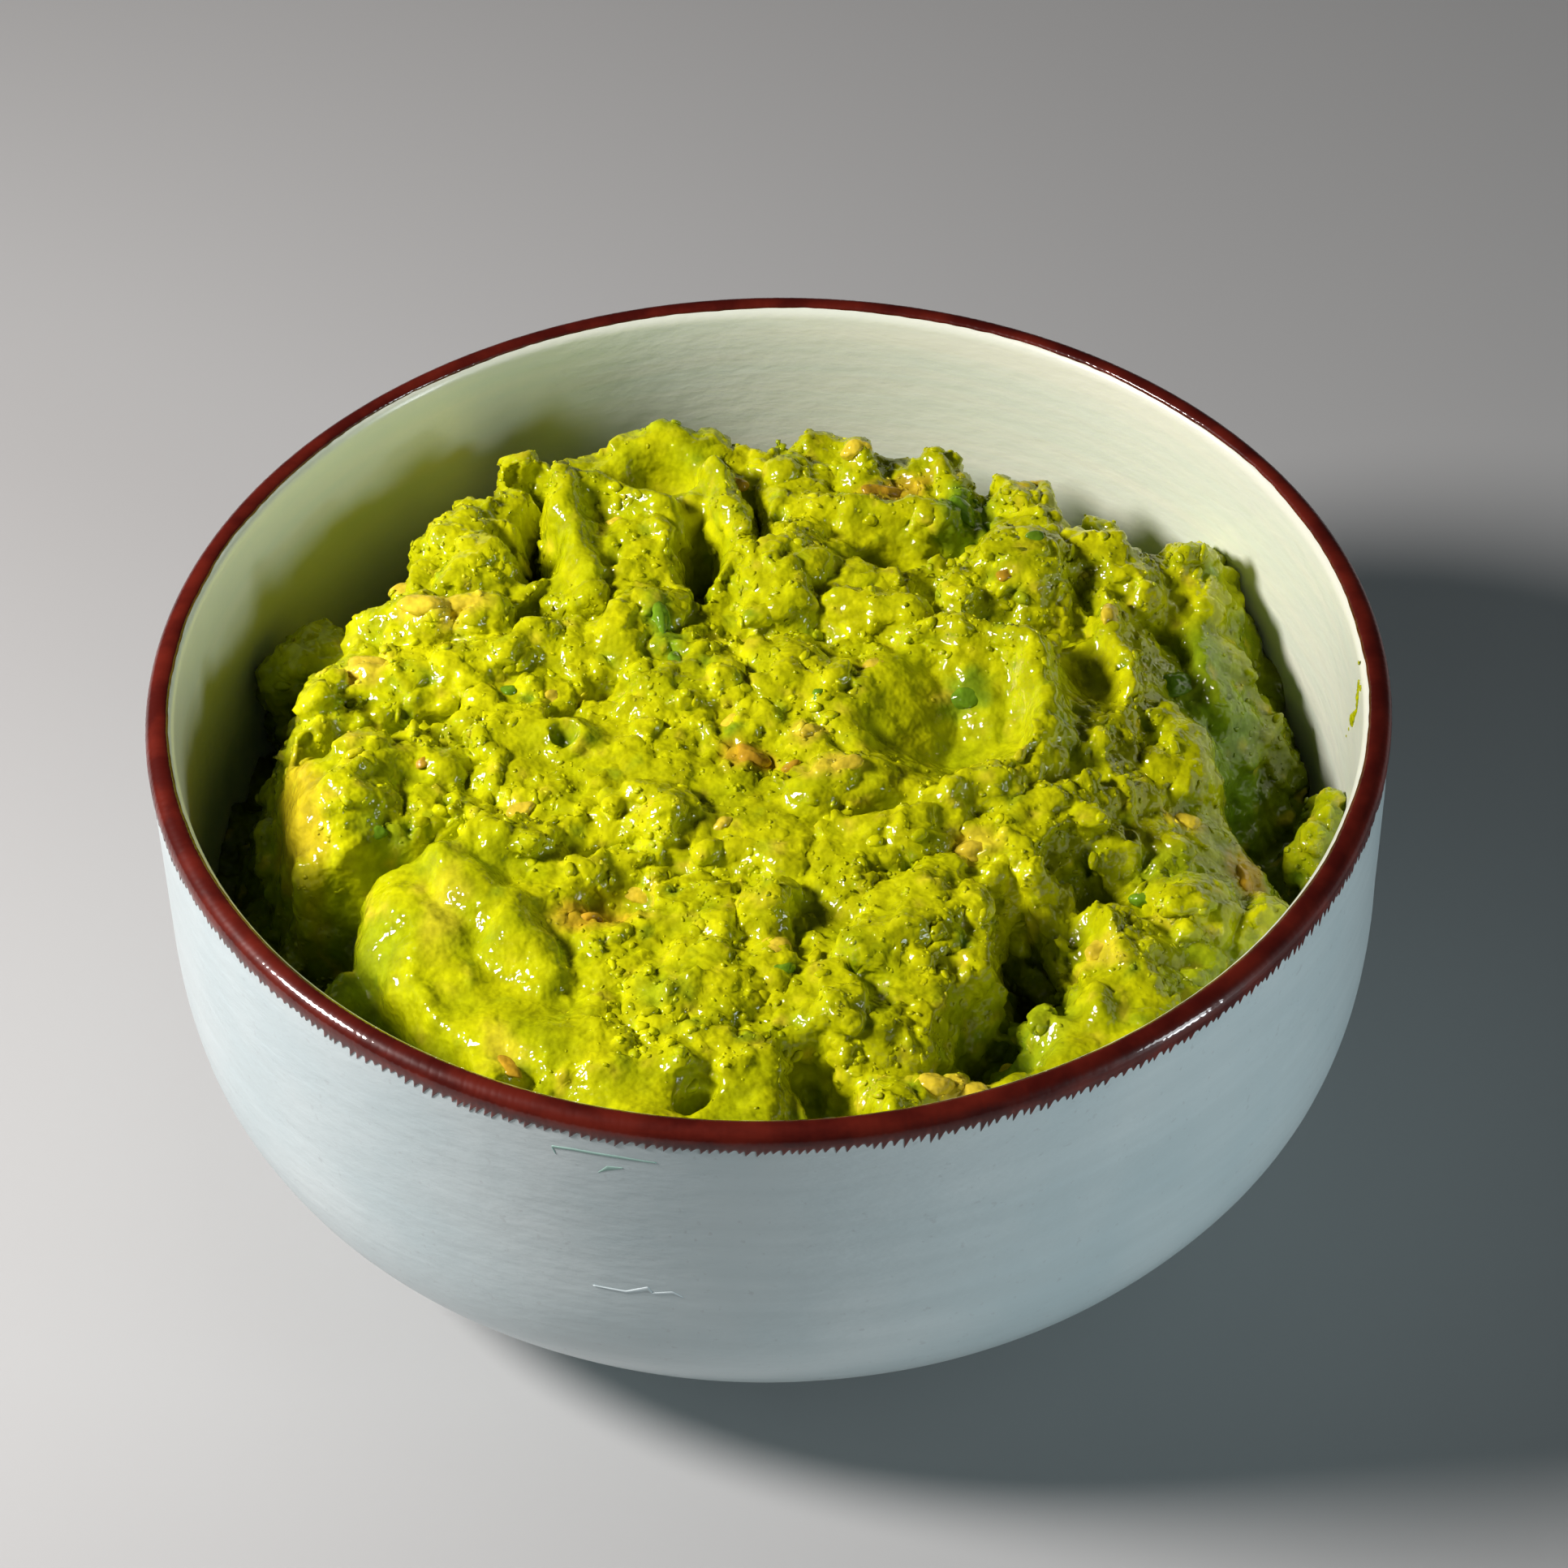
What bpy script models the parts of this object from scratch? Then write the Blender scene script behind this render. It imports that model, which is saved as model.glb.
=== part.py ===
"""Guacamole heaped in a round glazed bowl.

The bowl is turned from a profile. The guacamole is one solid: a surface made from named
masses, ridges, knobs and hollows, cut to the inside of the bowl. Lengths are in millimetres
and become metres where the meshes are made. Depths count down from the top of the rim.
The origin is the middle of the foot, where the bowl stands, and +Z is up.
"""
import bmesh
import bpy
import numpy as np
from math import cos, pi, radians, sin
from mathutils import Vector, noise

MM = 0.001

# Bowl
RIM_RADIUS = 75.0          # outside, at the lip
BOWL_HEIGHT = 66.0
LIP_THICKNESS = 3.4
WALL = 4.0
STRAIGHT_DEPTH = 23.4      # the wall is nearly upright down to here, then curves in
TAPER = 0.4                # how far the upright wall leans in
BELLY_POWER = 3.34         # squareness of the curve under the upright wall
OUTER_BELLY = 39.8         # depth of that curve, outside
INNER_BELLY = 34.3         # and inside
FOOT_RADIUS = 38.0
FOOT_WIDTH = 4.0
FOOT_EDGE = 0.6            # small rounding of the foot ring's edges
BELLY_TURN = radians(68)   # the belly's curve stops here, above the foot ring
RECESS_DEPTH = 62.9        # the underside within the foot ring
BOWL_STEPS = 56
BELLY_STEPS = 8
LIP_STEPS = 4

# Guacamole
GAP = 0.3                  # clearance between the guacamole and the glaze
GRID_PITCH = 2.45
BLOCK_BOTTOM = 68.0        # the uncut block reaches below the bowl's inside
BED_DEPTH = 36.0           # floor of the gaps between the heap and the wall
RIDGE_SPREAD = 0.07        # how fast a ridge's sides steepen away from it
FILL_TOP = 3.0
FILL_STEPS = 48
LOWER_TOP = 13.5           # depth of the lower layer's top
UPPER_TOP = 10.4           # depth of the upper layer's top
RIGHT_EDGE = 43.0          # beyond here the lower layer leans down to the right
RIGHT_LEAN = 0.52
CROWN_EDGE = 36.0          # and the upper layer beyond here
CROWN_LEAN = 0.25
BEND = 1.6                 # how far forms are bent sideways, and over what size
BEND_SIZE = 6.0
BED_ROUGHNESS = 2.5
BED_SIZE = 9.0
CROWN_ROUGHNESS = 0.8
CROWN_SIZE = 14.0
FINE_ROUGHNESS = 0.5
FINE_SIZE = 5.0
BULGE_HEIGHT = 0.6
BULGE_SIZE = 7.5

# Outlines of the two layers, as (x, y) seen from above, anticlockwise from the left.
LOWER_OUTLINE = [
    (-60, 2.5), (-58, -9.5), (-55, -16), (-48, -22), (-49, -30), (-44, -42.5), (-37, -52.5),
    (-33, -59.5), (-30, -67.5), (-0.5, -76), (39.5, -68.5), (65.5, -38), (70, -22), (60, -14),
    (55, -6), (56.5, 3), (56.5, 12.5), (55, 24), (53.5, 32), (49.5, 38), (44, 44), (37.5, 46.5),
    (32, 50), (21, 54), (9.5, 58), (-5.5, 59), (-18.5, 59), (-28, 55.5), (-35, 48.5), (-42, 40.5),
    (-48.5, 30.5), (-54, 23), (-55, 17), (-59, 10.5)]
UPPER_OUTLINE = [
    (-59, 2.5), (-57, -9.5), (-54, -16), (-46, -23), (-47, -30), (-42, -42.5), (-36, -51.5),
    (-32, -59.5), (-30, -67.5), (-12, -74), (0, -68), (1, -53), (5, -56), (12, -52), (20, -49),
    (22, -45), (25, -40), (26, -36), (27, -28.5), (31, -27.5), (35, -22.5), (36, -17.5),
    (41, -16.5), (40, -12.5), (45, -9.5), (42, -2.5), (42, 7.5), (45, 17), (42, 26), (46, 30),
    (43.5, 39.5), (33, 48.5), (21, 53), (9.5, 57), (-5.5, 58), (-18.5, 58), (-28, 54.5),
    (-34, 47.5), (-41, 39.5), (-46.5, 29.5), (-52.5, 22), (-54, 17), (-58, 10.5)]

# Rounded lumps: x, y, half length, half width, turn in degrees, depth of the top, height.
LUMPS = [
    (-50.5, -6, 13, 9.5, 80, 6.6, 12), (-55, 8, 5, 3.6, 60, 9.0, 5), (3, 30.5, 12, 7, 70, 6.8, 8),
    (32, 29, 10, 8, 20, 6.4, 9), (33, 43, 5, 4, 70, 8.0, 6), (12, 50, 4, 3.5, 0, 8.8, 5),
    (-33, -18, 7, 4.5, 20, 7.0, 5), (0, -29.5, 5, 4, 60, 6.4, 5), (13, -35.5, 8, 6, 40, 7.4, 6),
    (14, -58, 9, 5.5, 15, 10.0, 9), (8, -48, 8, 5, 0, 8.4, 6), (28.5, -32, 5, 2.6, 80, 12.0, 6),
    (39, -31, 7, 4.5, 60, 11.5, 6), (50, -26, 9, 5, 50, 14.0, 5), (50, 0.5, 9, 5, 80, 13.5, 5),
    (44, 32, 9, 6, -50, 9.0, 7), (-38.5, 41, 8, 5, 40, 8.4, 6), (-36, 32, 8, 5, 60, 7.6, 5),
    (-46, 14.5, 8, 6, 0, 8.2, 5), (-10, 9, 11, 6, 10, 7.6, 5), (9, -8, 9, 5, 30, 7.6, 5),
    (-14, -13, 9, 6, -20, 7.8, 5), (-8, -41.5, 11, 8, 10, 8.4, 5), (27.5, -55, 8, 5, 30, 14.5, 5),
    (45.5, -46, 8, 5, 45, 15.0, 5), (68, -5.5, 8, 4, 85, 20.0, 9), (58, -26, 6, 4, 60, 16.0, 5),
    (-50, -34, 6, 5, 60, 15.5, 10), (-43, -48.5, 7, 5.5, 30, 16.0, 10), (-30, 52.5, 5, 4, 30, 9.4, 5),
    (-58, -29, 7, 6, 60, 23.0, 10), (-62, -10.5, 8, 6, 80, 29.0, 8), (-57, 27, 7, 5, 60, 16.0, 8),
    (-11.5, 55, 14, 4, 0, 8.6, 6), (22, 50, 8, 4.5, -20, 8.8, 5), (-28, 2.5, 9, 5, -30, 8.6, 4),
    (-16, 21.5, 7, 5, 50, 7.6, 5), (18, -29.5, 9, 6, -30, 8.8, 5), (-24, -51.5, 12, 8, -20, 9.0, 6),
    (-40, -33, 16, 8, -65, 9.2, 7), (2, 11, 8, 6, 20, 8.6, 4), (36, -7.5, 8, 5, 70, 11.0, 5)]

# Ridges: two ends as (x, y, depth), how steeply the sides fall, radius of the top.
RIDGES = [
    ((-25, 47.5, 5.7), (-24.5, 39, 6.0), 1.5, 0.8),
    ((-24.5, 39, 6.0), (-22.5, 25, 8.4), 1.2, 1.2), ((-24, 46.5, 6.4), (-13, 43, 7.4), 1.0, 1.0),
    ((-6, 50, 6.3), (-2.5, 37, 7.0), 1.4, 0.8),
    ((8, 43, 7.4), (22, 41, 7.2), 1.3, 1.4), ((22.5, 29.5, 6.8), (26, 18, 9.0), 1.2, 1.0),
    ((-46, 23, 7.2), (-34, 23, 7.2), 0.9, 2.5), ((-39, 13.5, 7.8), (-28, 18.5, 8.0), 0.9, 2.0),
    ((-38, -20, 7.0), (-27, -38.5, 8.4), 0.5, 2.0), ((34, -32, 11.5), (37, -45, 12.5), 0.9, 1.5),
    ((10, 23, 7.6), (17, 21.5, 7.4), 0.9, 1.2), ((20, 17, 7.4), (28, 17, 7.0), 0.9, 1.2),
    ((28, 17, 7.0), (33, 12, 6.6), 1.3, 0.8), ((33, 12, 6.6), (34.5, -2.5, 6.6), 1.3, 0.8),
    ((34.5, -2.5, 6.6), (28, -9.5, 6.8), 1.2, 1.0), ((28, -9.5, 6.8), (18, -16, 7.4), 1.0, 1.2),
    ((18, -16, 7.8), (2, -21.5, 9.0), 0.5, 2.5), ((41, 25, 8.5), (46, 6.5, 10.5), 0.9, 1.0),
    ((53, 34, 11.0), (56, 14.5, 17.0), 0.7, 1.5)]

# Hollows: x, y, half length, half width, turn in degrees, depth below the surface.
HOLLOWS = [
    (-14, 50, 7, 4.5, 0, 6), (-8, 35, 8.5, 3.6, 85, 9), (16, 34.5, 6, 3.6, 20, 10),
    (21, 27.5, 6, 3, 70, 6), (24, 36.5, 6, 3, 20, 7), (31, 19.5, 7, 3, 0, 5),
    (22, 3, 13, 12, 0, 7), (-29.5, 24.5, 4.5, 2.6, 40, 7), (-23, 23.5, 4, 2, 0, 4),
    (-25, 6, 3.4, 2.8, 0, 6), (-20, -26.5, 7, 4, 10, 4), (-20, -17, 7, 4, 20, 3.5),
    (14, -12.5, 5, 3, 30, 4), (40, 11, 6, 4, 70, 3), (-9, -58, 4, 2.4, 70, 5),
    (-38, 2.5, 5, 3, 10, 3), (-3, 19.5, 6, 3, 0, 2.5), (-20, 11.5, 5, 3, 40, 3),
    (31, -35, 12, 5.5, -68, 8), (26, -50, 9, 5, 45, 6), (-37, -4, 4, 8, 10, 3), (6, 21, 9, 3, 10, 3),
    (38, 20, 6, 4, 60, 4), (-33, 39, 4, 3, 0, 4), (47, 6, 8, 3, 80, 3), (-8, -22, 9, 4, 0, 3)]

# Clefts: two ends as (x, y), half width, depth below the surface.
CLEFTS = [
    ((-29, 51), (-29.5, 33), 3.2, 12), ((-1, 46), (-0.5, 36.5), 2.6, 7), ((4, -53), (8, -62), 3.4, 10),
    ((20, -51), (27, -42), 3.6, 10), ((27.5, -27.5), (31, -40), 4.0, 9), ((35, -20.5), (43, -26), 3.6, 8),
    ((-50, -20), (-38, -14), 3.0, 9), ((-55, 1), (-38, 8.5), 3.0, 6), ((-33, -61.5),
    (-29, -55.5), 2.4, 6),
    ((-44, 36), (-50, 28), 2.4, 4), ((26.5, 39.5), (29.5, 49.5), 2.2, 4), ((40.5, 39.5),
    (37.5, 49.5), 2.2, 4)]


def superellipse(radius, depth, turn):
    """Point at turn (0 at the wall, pi/2 at the bottom) on the curve under the upright wall."""
    power = 2.0 / BELLY_POWER
    return radius * cos(turn) ** power, STRAIGHT_DEPTH + depth * sin(turn) ** power


def belly_depth(at_radius, radius, depth):
    """How deep the curve under the upright wall lies at a given radius."""
    return STRAIGHT_DEPTH + depth * (1 - (at_radius / radius) ** BELLY_POWER) ** (1 / BELLY_POWER)


def inner_wall(shrink=0.0):
    """The bowl's inside from the middle of the bottom up to the upright wall's top."""
    radius = RIM_RADIUS - TAPER - WALL - shrink
    turns = [pi / 2 * (1 - i / BELLY_STEPS) for i in range(BELLY_STEPS + 1)]
    curve = [superellipse(radius, INNER_BELLY - shrink, turn) for turn in turns]
    curve[0] = (0.0, STRAIGHT_DEPTH + INNER_BELLY - shrink)
    return curve


def bowl_profile():
    """(radius, depth) from the inside's middle, over the lip and down to the underside."""
    half_lip = LIP_THICKNESS / 2
    lip_middle = RIM_RADIUS - half_lip
    outer_radius = RIM_RADIUS - TAPER
    points = inner_wall()
    for i in range(LIP_STEPS + 1):
        turn = pi * (1 - i / LIP_STEPS)
        points.append((lip_middle + half_lip * cos(turn), half_lip - half_lip * sin(turn)))
    for i in range(BELLY_STEPS + 1):
        points.append(superellipse(outer_radius, OUTER_BELLY, BELLY_TURN * i / BELLY_STEPS))
    foot_inside = FOOT_RADIUS - FOOT_WIDTH
    points += [
        (FOOT_RADIUS + FOOT_EDGE, belly_depth(FOOT_RADIUS, outer_radius, OUTER_BELLY)),
        (FOOT_RADIUS, BOWL_HEIGHT - FOOT_EDGE), (FOOT_RADIUS - FOOT_EDGE, BOWL_HEIGHT),
        (foot_inside + FOOT_EDGE, BOWL_HEIGHT), (foot_inside, BOWL_HEIGHT - FOOT_EDGE),
        (foot_inside - FOOT_EDGE, RECESS_DEPTH), (0.0, RECESS_DEPTH)]
    return points


def turned(name, profile, steps, collection):
    """A solid of revolution about +Z from (radius, depth) points that run down the outside."""
    mesh = bpy.data.meshes.new(name)
    points = [(radius * MM, 0.0, (BOWL_HEIGHT - depth) * MM) for radius, depth in profile]
    mesh.from_pydata(points, [(i, i + 1) for i in range(len(points) - 1)], [])
    solid = bpy.data.objects.new(name, mesh)
    collection.objects.link(solid)
    screw = solid.modifiers.new("Turn", "SCREW")
    screw.axis = "Z"
    screw.steps = steps
    screw.render_steps = steps
    screw.use_merge_vertices = True
    screw.merge_threshold = 0.00005
    screw.use_smooth_shade = True
    return solid


def outline_distance(x, y, outline):
    """Distance to a closed outline, positive inside it."""
    nearest = np.full(x.shape, np.inf)
    inside = np.zeros(x.shape, bool)
    for (ax, ay), (bx, by) in zip(outline, outline[1:] + outline[:1]):
        dx, dy = bx - ax, by - ay
        along = np.clip(((x - ax) * dx + (y - ay) * dy) / (dx * dx + dy * dy), 0, 1)
        nearest = np.minimum(nearest, np.hypot(x - ax - along * dx, y - ay - along * dy))
        if dy:
            inside ^= ((ay > y) != (by > y)) & (x < dx * (y - ay) / dy + ax)
    return np.where(inside, nearest, -nearest)


def layer(x, y, outline, top, shoulder, steepness):
    """A flat-topped mass: rounded at its outline and falling steeply outside it."""
    inside = outline_distance(x, y, outline)
    edge = np.clip((shoulder - inside) / shoulder, 0, 1)
    drop = shoulder * (1 - np.sqrt(1 - edge * edge))
    return top - drop - steepness * np.maximum(-inside, 0)


def ellipse_distance(x, y, cx, cy, length, width, turn):
    """Distance from an ellipse's middle, 1 on its outline."""
    c, s = cos(radians(turn)), sin(radians(turn))
    along = ((x - cx) * c + (y - cy) * s) / length
    across = ((y - cy) * c - (x - cx) * s) / width
    return np.hypot(along, across)


def segment_distance(x, y, start, end):
    """Distance to a straight line between two points, and how far along it the nearest is."""
    dx, dy = end[0] - start[0], end[1] - start[1]
    along = np.clip(((x - start[0]) * dx + (y - start[1]) * dy) / (dx * dx + dy * dy), 0, 1)
    return np.hypot(x - start[0] - along * dx, y - start[1] - along * dy), along


def unevenness(x, y, size, seed):
    """Smooth noise between about -1 and 1 whose features are about size across."""
    flat = [noise.noise(Vector((px / size, py / size, seed))) for px, py in zip(x.flat, y.flat)]
    return np.array(flat).reshape(x.shape)


def bulges(x, y, size):
    """Rounded cells about size across: 1 at a cell's middle, lower in the creases between."""
    flat = [noise.voronoi(Vector((px / size, py / size, 0)))[0][0] for px, py in zip(x.flat, y.flat)]
    return 1 - np.array(flat).reshape(x.shape) ** 2 * 2


def surface(x, y):
    """Height of the guacamole's surface, as minus its depth below the rim."""
    x = x + BEND * unevenness(x, y, BEND_SIZE, 3.1)
    y = y + BEND * unevenness(x, y, BEND_SIZE, 7.7)
    z = -BED_DEPTH + BED_ROUGHNESS * unevenness(x, y, BED_SIZE, 1.3)
    lean = RIGHT_LEAN * np.maximum(x - RIGHT_EDGE, 0)
    z = np.maximum(z, layer(x, y, LOWER_OUTLINE, -LOWER_TOP - lean, 3.0, 6.0))
    crown = CROWN_ROUGHNESS * unevenness(x, y, CROWN_SIZE, 5.2)
    crown = crown - CROWN_LEAN * np.maximum(x - CROWN_EDGE, 0)
    z = np.maximum(z, layer(x, y, UPPER_OUTLINE, -UPPER_TOP + crown, 2.2, 3.0))
    for cx, cy, length, width, turn, depth, height in LUMPS:
        away = ellipse_distance(x, y, cx, cy, length, width, turn)
        dome = height * np.sqrt(np.clip(1 - away * away, 0, 1)) - height - depth
        z = np.where(away < 1, np.maximum(z, dome), z)
    for start, end, fall, radius in RIDGES:
        away, along = segment_distance(x, y, start, end)
        crest = -start[2] + (start[2] - end[2]) * along
        flank = fall * (np.hypot(away, radius) - radius) + RIDGE_SPREAD * away * away
        z = np.maximum(z, crest - flank)
    for cx, cy, length, width, turn, depth in HOLLOWS:
        away = ellipse_distance(x, y, cx, cy, length, width, turn)
        z = z - depth * np.clip(1 - away * away, 0, 1) ** 1.5
    for start, end, width, depth in CLEFTS:
        away, _ = segment_distance(x, y, start, end)
        z = z - depth * np.clip(1 - away / width, 0, 1)
    fine = FINE_ROUGHNESS * unevenness(x, y, FINE_SIZE, 9.4)
    return z + fine + BULGE_HEIGHT * bulges(x, y, BULGE_SIZE)


def guacamole_block(name, collection):
    """A square block whose top is the guacamole's surface."""
    half = RIM_RADIUS
    count = round(2 * half / GRID_PITCH)
    block = bmesh.new()
    bmesh.ops.create_grid(block, x_segments=count, y_segments=count, size=half)
    top = list(block.verts)
    x = np.array([vert.co.x for vert in top])
    y = np.array([vert.co.y for vert in top])
    for vert, height in zip(top, surface(x, y)):
        vert.co.z = height
    skirt = bmesh.ops.extrude_face_region(block, geom=list(block.faces))["geom"]
    for item in skirt:
        if isinstance(item, bmesh.types.BMVert):
            item.co.z = -BLOCK_BOTTOM
    bmesh.ops.recalc_face_normals(block, faces=list(block.faces))
    for vert in block.verts:
        vert.co = Vector((vert.co.x, vert.co.y, vert.co.z + BOWL_HEIGHT)) * MM
    mesh = bpy.data.meshes.new(name)
    block.to_mesh(mesh)
    block.free()
    mesh.shade_smooth()
    solid = bpy.data.objects.new(name, mesh)
    collection.objects.link(solid)
    return solid


def fill_profile():
    """The space that the guacamole may take, from the top's middle down the wall."""
    wall_radius = RIM_RADIUS - TAPER - WALL - GAP
    return [(0.0, FILL_TOP), (wall_radius, FILL_TOP)] + inner_wall(GAP)[::-1]


def material(name, colour, roughness):
    """A Principled material with one colour."""
    made = bpy.data.materials.new(name)
    made.use_nodes = True
    shader = made.node_tree.nodes["Principled BSDF"]
    shader.inputs["Base Color"].default_value = (*colour, 1.0)
    shader.inputs["Roughness"].default_value = roughness
    shader.inputs["Metallic"].default_value = 0.0
    return made


def main():
    for old in list(bpy.data.objects):
        bpy.data.objects.remove(old, do_unlink=True)
    parts = bpy.data.collections.new("Guacamole in a bowl")
    cutters = bpy.data.collections.new("Cutters")
    bpy.context.scene.collection.children.link(parts)
    bpy.context.scene.collection.children.link(cutters)

    bowl = turned("bowl", bowl_profile(), BOWL_STEPS, parts)
    bowl.data.materials.append(material("Bowl glaze", (0.62, 0.70, 0.72), 0.25))

    fill = turned("fill_space", fill_profile(), FILL_STEPS, cutters)
    fill.hide_render = True
    fill.display_type = "WIRE"

    guacamole = guacamole_block("guacamole", parts)
    guacamole.data.materials.append(material("Guacamole", (0.42, 0.47, 0.02), 0.35))
    cut = guacamole.modifiers.new("Cut to the bowl", "BOOLEAN")
    cut.operation = "INTERSECT"
    cut.solver = "EXACT"
    cut.object = fill


main()
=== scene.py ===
"""Looks of the guacamole in its glazed bowl. Lengths are in millimetres, made metres by MM."""
from itertools import product
from math import cos, pi, radians, sin

import bmesh
import bpy
import numpy as np
from mathutils import Matrix, Vector, noise
from mathutils.bvhtree import BVHTree


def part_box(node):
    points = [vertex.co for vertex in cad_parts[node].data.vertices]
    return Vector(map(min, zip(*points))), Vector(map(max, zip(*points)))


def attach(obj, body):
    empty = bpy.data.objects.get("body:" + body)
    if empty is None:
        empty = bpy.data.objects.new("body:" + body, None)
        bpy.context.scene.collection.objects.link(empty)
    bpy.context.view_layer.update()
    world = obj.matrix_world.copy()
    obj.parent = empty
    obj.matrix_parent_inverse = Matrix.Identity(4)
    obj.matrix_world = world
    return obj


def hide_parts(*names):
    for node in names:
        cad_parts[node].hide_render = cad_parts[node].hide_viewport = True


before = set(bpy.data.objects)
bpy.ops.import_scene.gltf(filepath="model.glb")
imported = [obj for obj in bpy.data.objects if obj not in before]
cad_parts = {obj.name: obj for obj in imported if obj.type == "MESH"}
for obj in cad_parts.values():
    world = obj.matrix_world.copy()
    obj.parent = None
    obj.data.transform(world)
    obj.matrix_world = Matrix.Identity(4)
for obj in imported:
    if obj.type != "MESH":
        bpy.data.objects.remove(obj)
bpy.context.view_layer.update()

MM = 0.001
BOWL_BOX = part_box("bowl")
RIM_RADIUS = BOWL_BOX[1][0] / MM
BOWL_HEIGHT = BOWL_BOX[1][2] / MM

# Bowl, as in the frame
LIP_THICKNESS = 3.4
WALL = 4.0
STRAIGHT_DEPTH = 23.4
TAPER = 0.4
BELLY_POWER = 3.34
OUTER_BELLY = 39.8
INNER_BELLY = 34.3
FOOT_RADIUS = 38.0
FOOT_WIDTH = 4.0
FOOT_EDGE = 0.6
BELLY_TURN = radians(68)
RECESS_DEPTH = 62.9
BOWL_STEPS = 288

# Guacamole, as in the frame
BED_DEPTH = 36.0
RIDGE_SPREAD = 0.07
LOWER_TOP = 13.5
UPPER_TOP = 10.4
RIGHT_EDGE = 43.0
RIGHT_LEAN = 0.52
CROWN_EDGE = 36.0
CROWN_LEAN = 0.25
BEND = 1.6
BEND_SIZE = 6.0
BED_ROUGHNESS = 2.5
BED_SIZE = 9.0
CROWN_ROUGHNESS = 0.8
CROWN_SIZE = 14.0
FINE_ROUGHNESS = 0.5
FINE_SIZE = 5.0
BULGE_HEIGHT = 1.1
BULGE_SIZE = 7.5
LOWER_OUTLINE = [
    (-60, 2.5), (-58, -9.5), (-55, -16), (-48, -22), (-49, -30), (-44, -42.5), (-37, -52.5),
    (-33, -59.5), (-30, -67.5), (-0.5, -76), (39.5, -68.5), (65.5, -38), (70, -22), (60, -14),
    (55, -6), (56.5, 3), (56.5, 12.5), (55, 24), (53.5, 32), (49.5, 38), (44, 44), (37.5, 46.5),
    (32, 50), (21, 54), (9.5, 58), (-5.5, 59), (-18.5, 59), (-28, 55.5), (-35, 48.5), (-42, 40.5),
    (-48.5, 30.5), (-54, 23), (-55, 17), (-59, 10.5)]

UPPER_OUTLINE = [
    (-59, 2.5), (-57, -9.5), (-54, -16), (-46, -23), (-47, -30), (-42, -42.5), (-36, -51.5),
    (-32, -59.5), (-30, -67.5), (-12, -74), (0, -68), (1, -53), (5, -56), (12, -52), (20, -49),
    (22, -45), (25, -40), (26, -36), (27, -28.5), (31, -27.5), (35, -22.5), (36, -17.5),
    (41, -16.5), (40, -12.5), (45, -9.5), (42, -2.5), (42, 7.5), (45, 17), (42, 26), (46, 30),
    (43.5, 39.5), (33, 48.5), (21, 53), (9.5, 57), (-5.5, 58), (-18.5, 58), (-28, 54.5),
    (-34, 47.5), (-41, 39.5), (-46.5, 29.5), (-52.5, 22), (-54, 17), (-58, 10.5)]
# Rounded lumps: x, y, half length, half width, turn in degrees, depth of the top, height
LUMPS = [
    (-50.5, -6, 13, 9.5, 80, 6.6, 12), (-55, 8, 5, 3.6, 60, 9.0, 5), (3, 30.5, 12, 7, 70, 6.8, 8),
    (32, 29, 10, 8, 20, 6.4, 9), (33, 43, 5, 4, 70, 8.0, 6), (12, 50, 4, 3.5, 0, 8.8, 5),
    (-33, -18, 7, 4.5, 20, 7.0, 5), (0, -29.5, 5, 4, 60, 6.4, 5), (13, -35.5, 8, 6, 40, 7.4, 6),
    (14, -58, 9, 5.5, 15, 10.0, 9), (8, -48, 8, 5, 0, 8.4, 6), (28.5, -32, 5, 2.6, 80, 12.0, 6),
    (39, -31, 7, 4.5, 60, 11.5, 6), (50, -26, 9, 5, 50, 14.0, 5), (50, 0.5, 9, 5, 80, 13.5, 5),
    (44, 32, 9, 6, -50, 9.0, 7), (-38.5, 41, 8, 5, 40, 8.4, 6), (-36, 32, 8, 5, 60, 7.6, 5),
    (-46, 14.5, 8, 6, 0, 8.2, 5), (-10, 9, 11, 6, 10, 7.6, 5), (9, -8, 9, 5, 30, 7.6, 5),
    (-14, -13, 9, 6, -20, 7.8, 5), (-8, -41.5, 11, 8, 10, 8.4, 5), (27.5, -55, 8, 5, 30, 14.5, 5),
    (45.5, -46, 8, 5, 45, 15.0, 5), (68, -5.5, 8, 4, 85, 20.0, 9), (58, -26, 6, 4, 60, 16.0, 5),
    (-50, -34, 6, 5, 60, 15.5, 10), (-43, -48.5, 7, 5.5, 30, 16.0, 10), (-30, 52.5, 5, 4, 30, 9.4, 5),
    (-58, -29, 7, 6, 60, 23.0, 10), (-62, -10.5, 8, 6, 80, 29.0, 8), (-57, 27, 7, 5, 60, 16.0, 8),
    (-11.5, 55, 14, 4, 0, 8.6, 6), (22, 50, 8, 4.5, -20, 8.8, 5), (-28, 2.5, 9, 5, -30, 8.6, 4),
    (-16, 21.5, 7, 5, 50, 7.6, 5), (18, -29.5, 9, 6, -30, 8.8, 5), (-24, -51.5, 12, 8, -20, 9.0, 6),
    (-40, -33, 16, 8, -65, 9.2, 7), (2, 11, 8, 6, 20, 8.6, 4), (36, -7.5, 8, 5, 70, 11.0, 5)]
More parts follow.
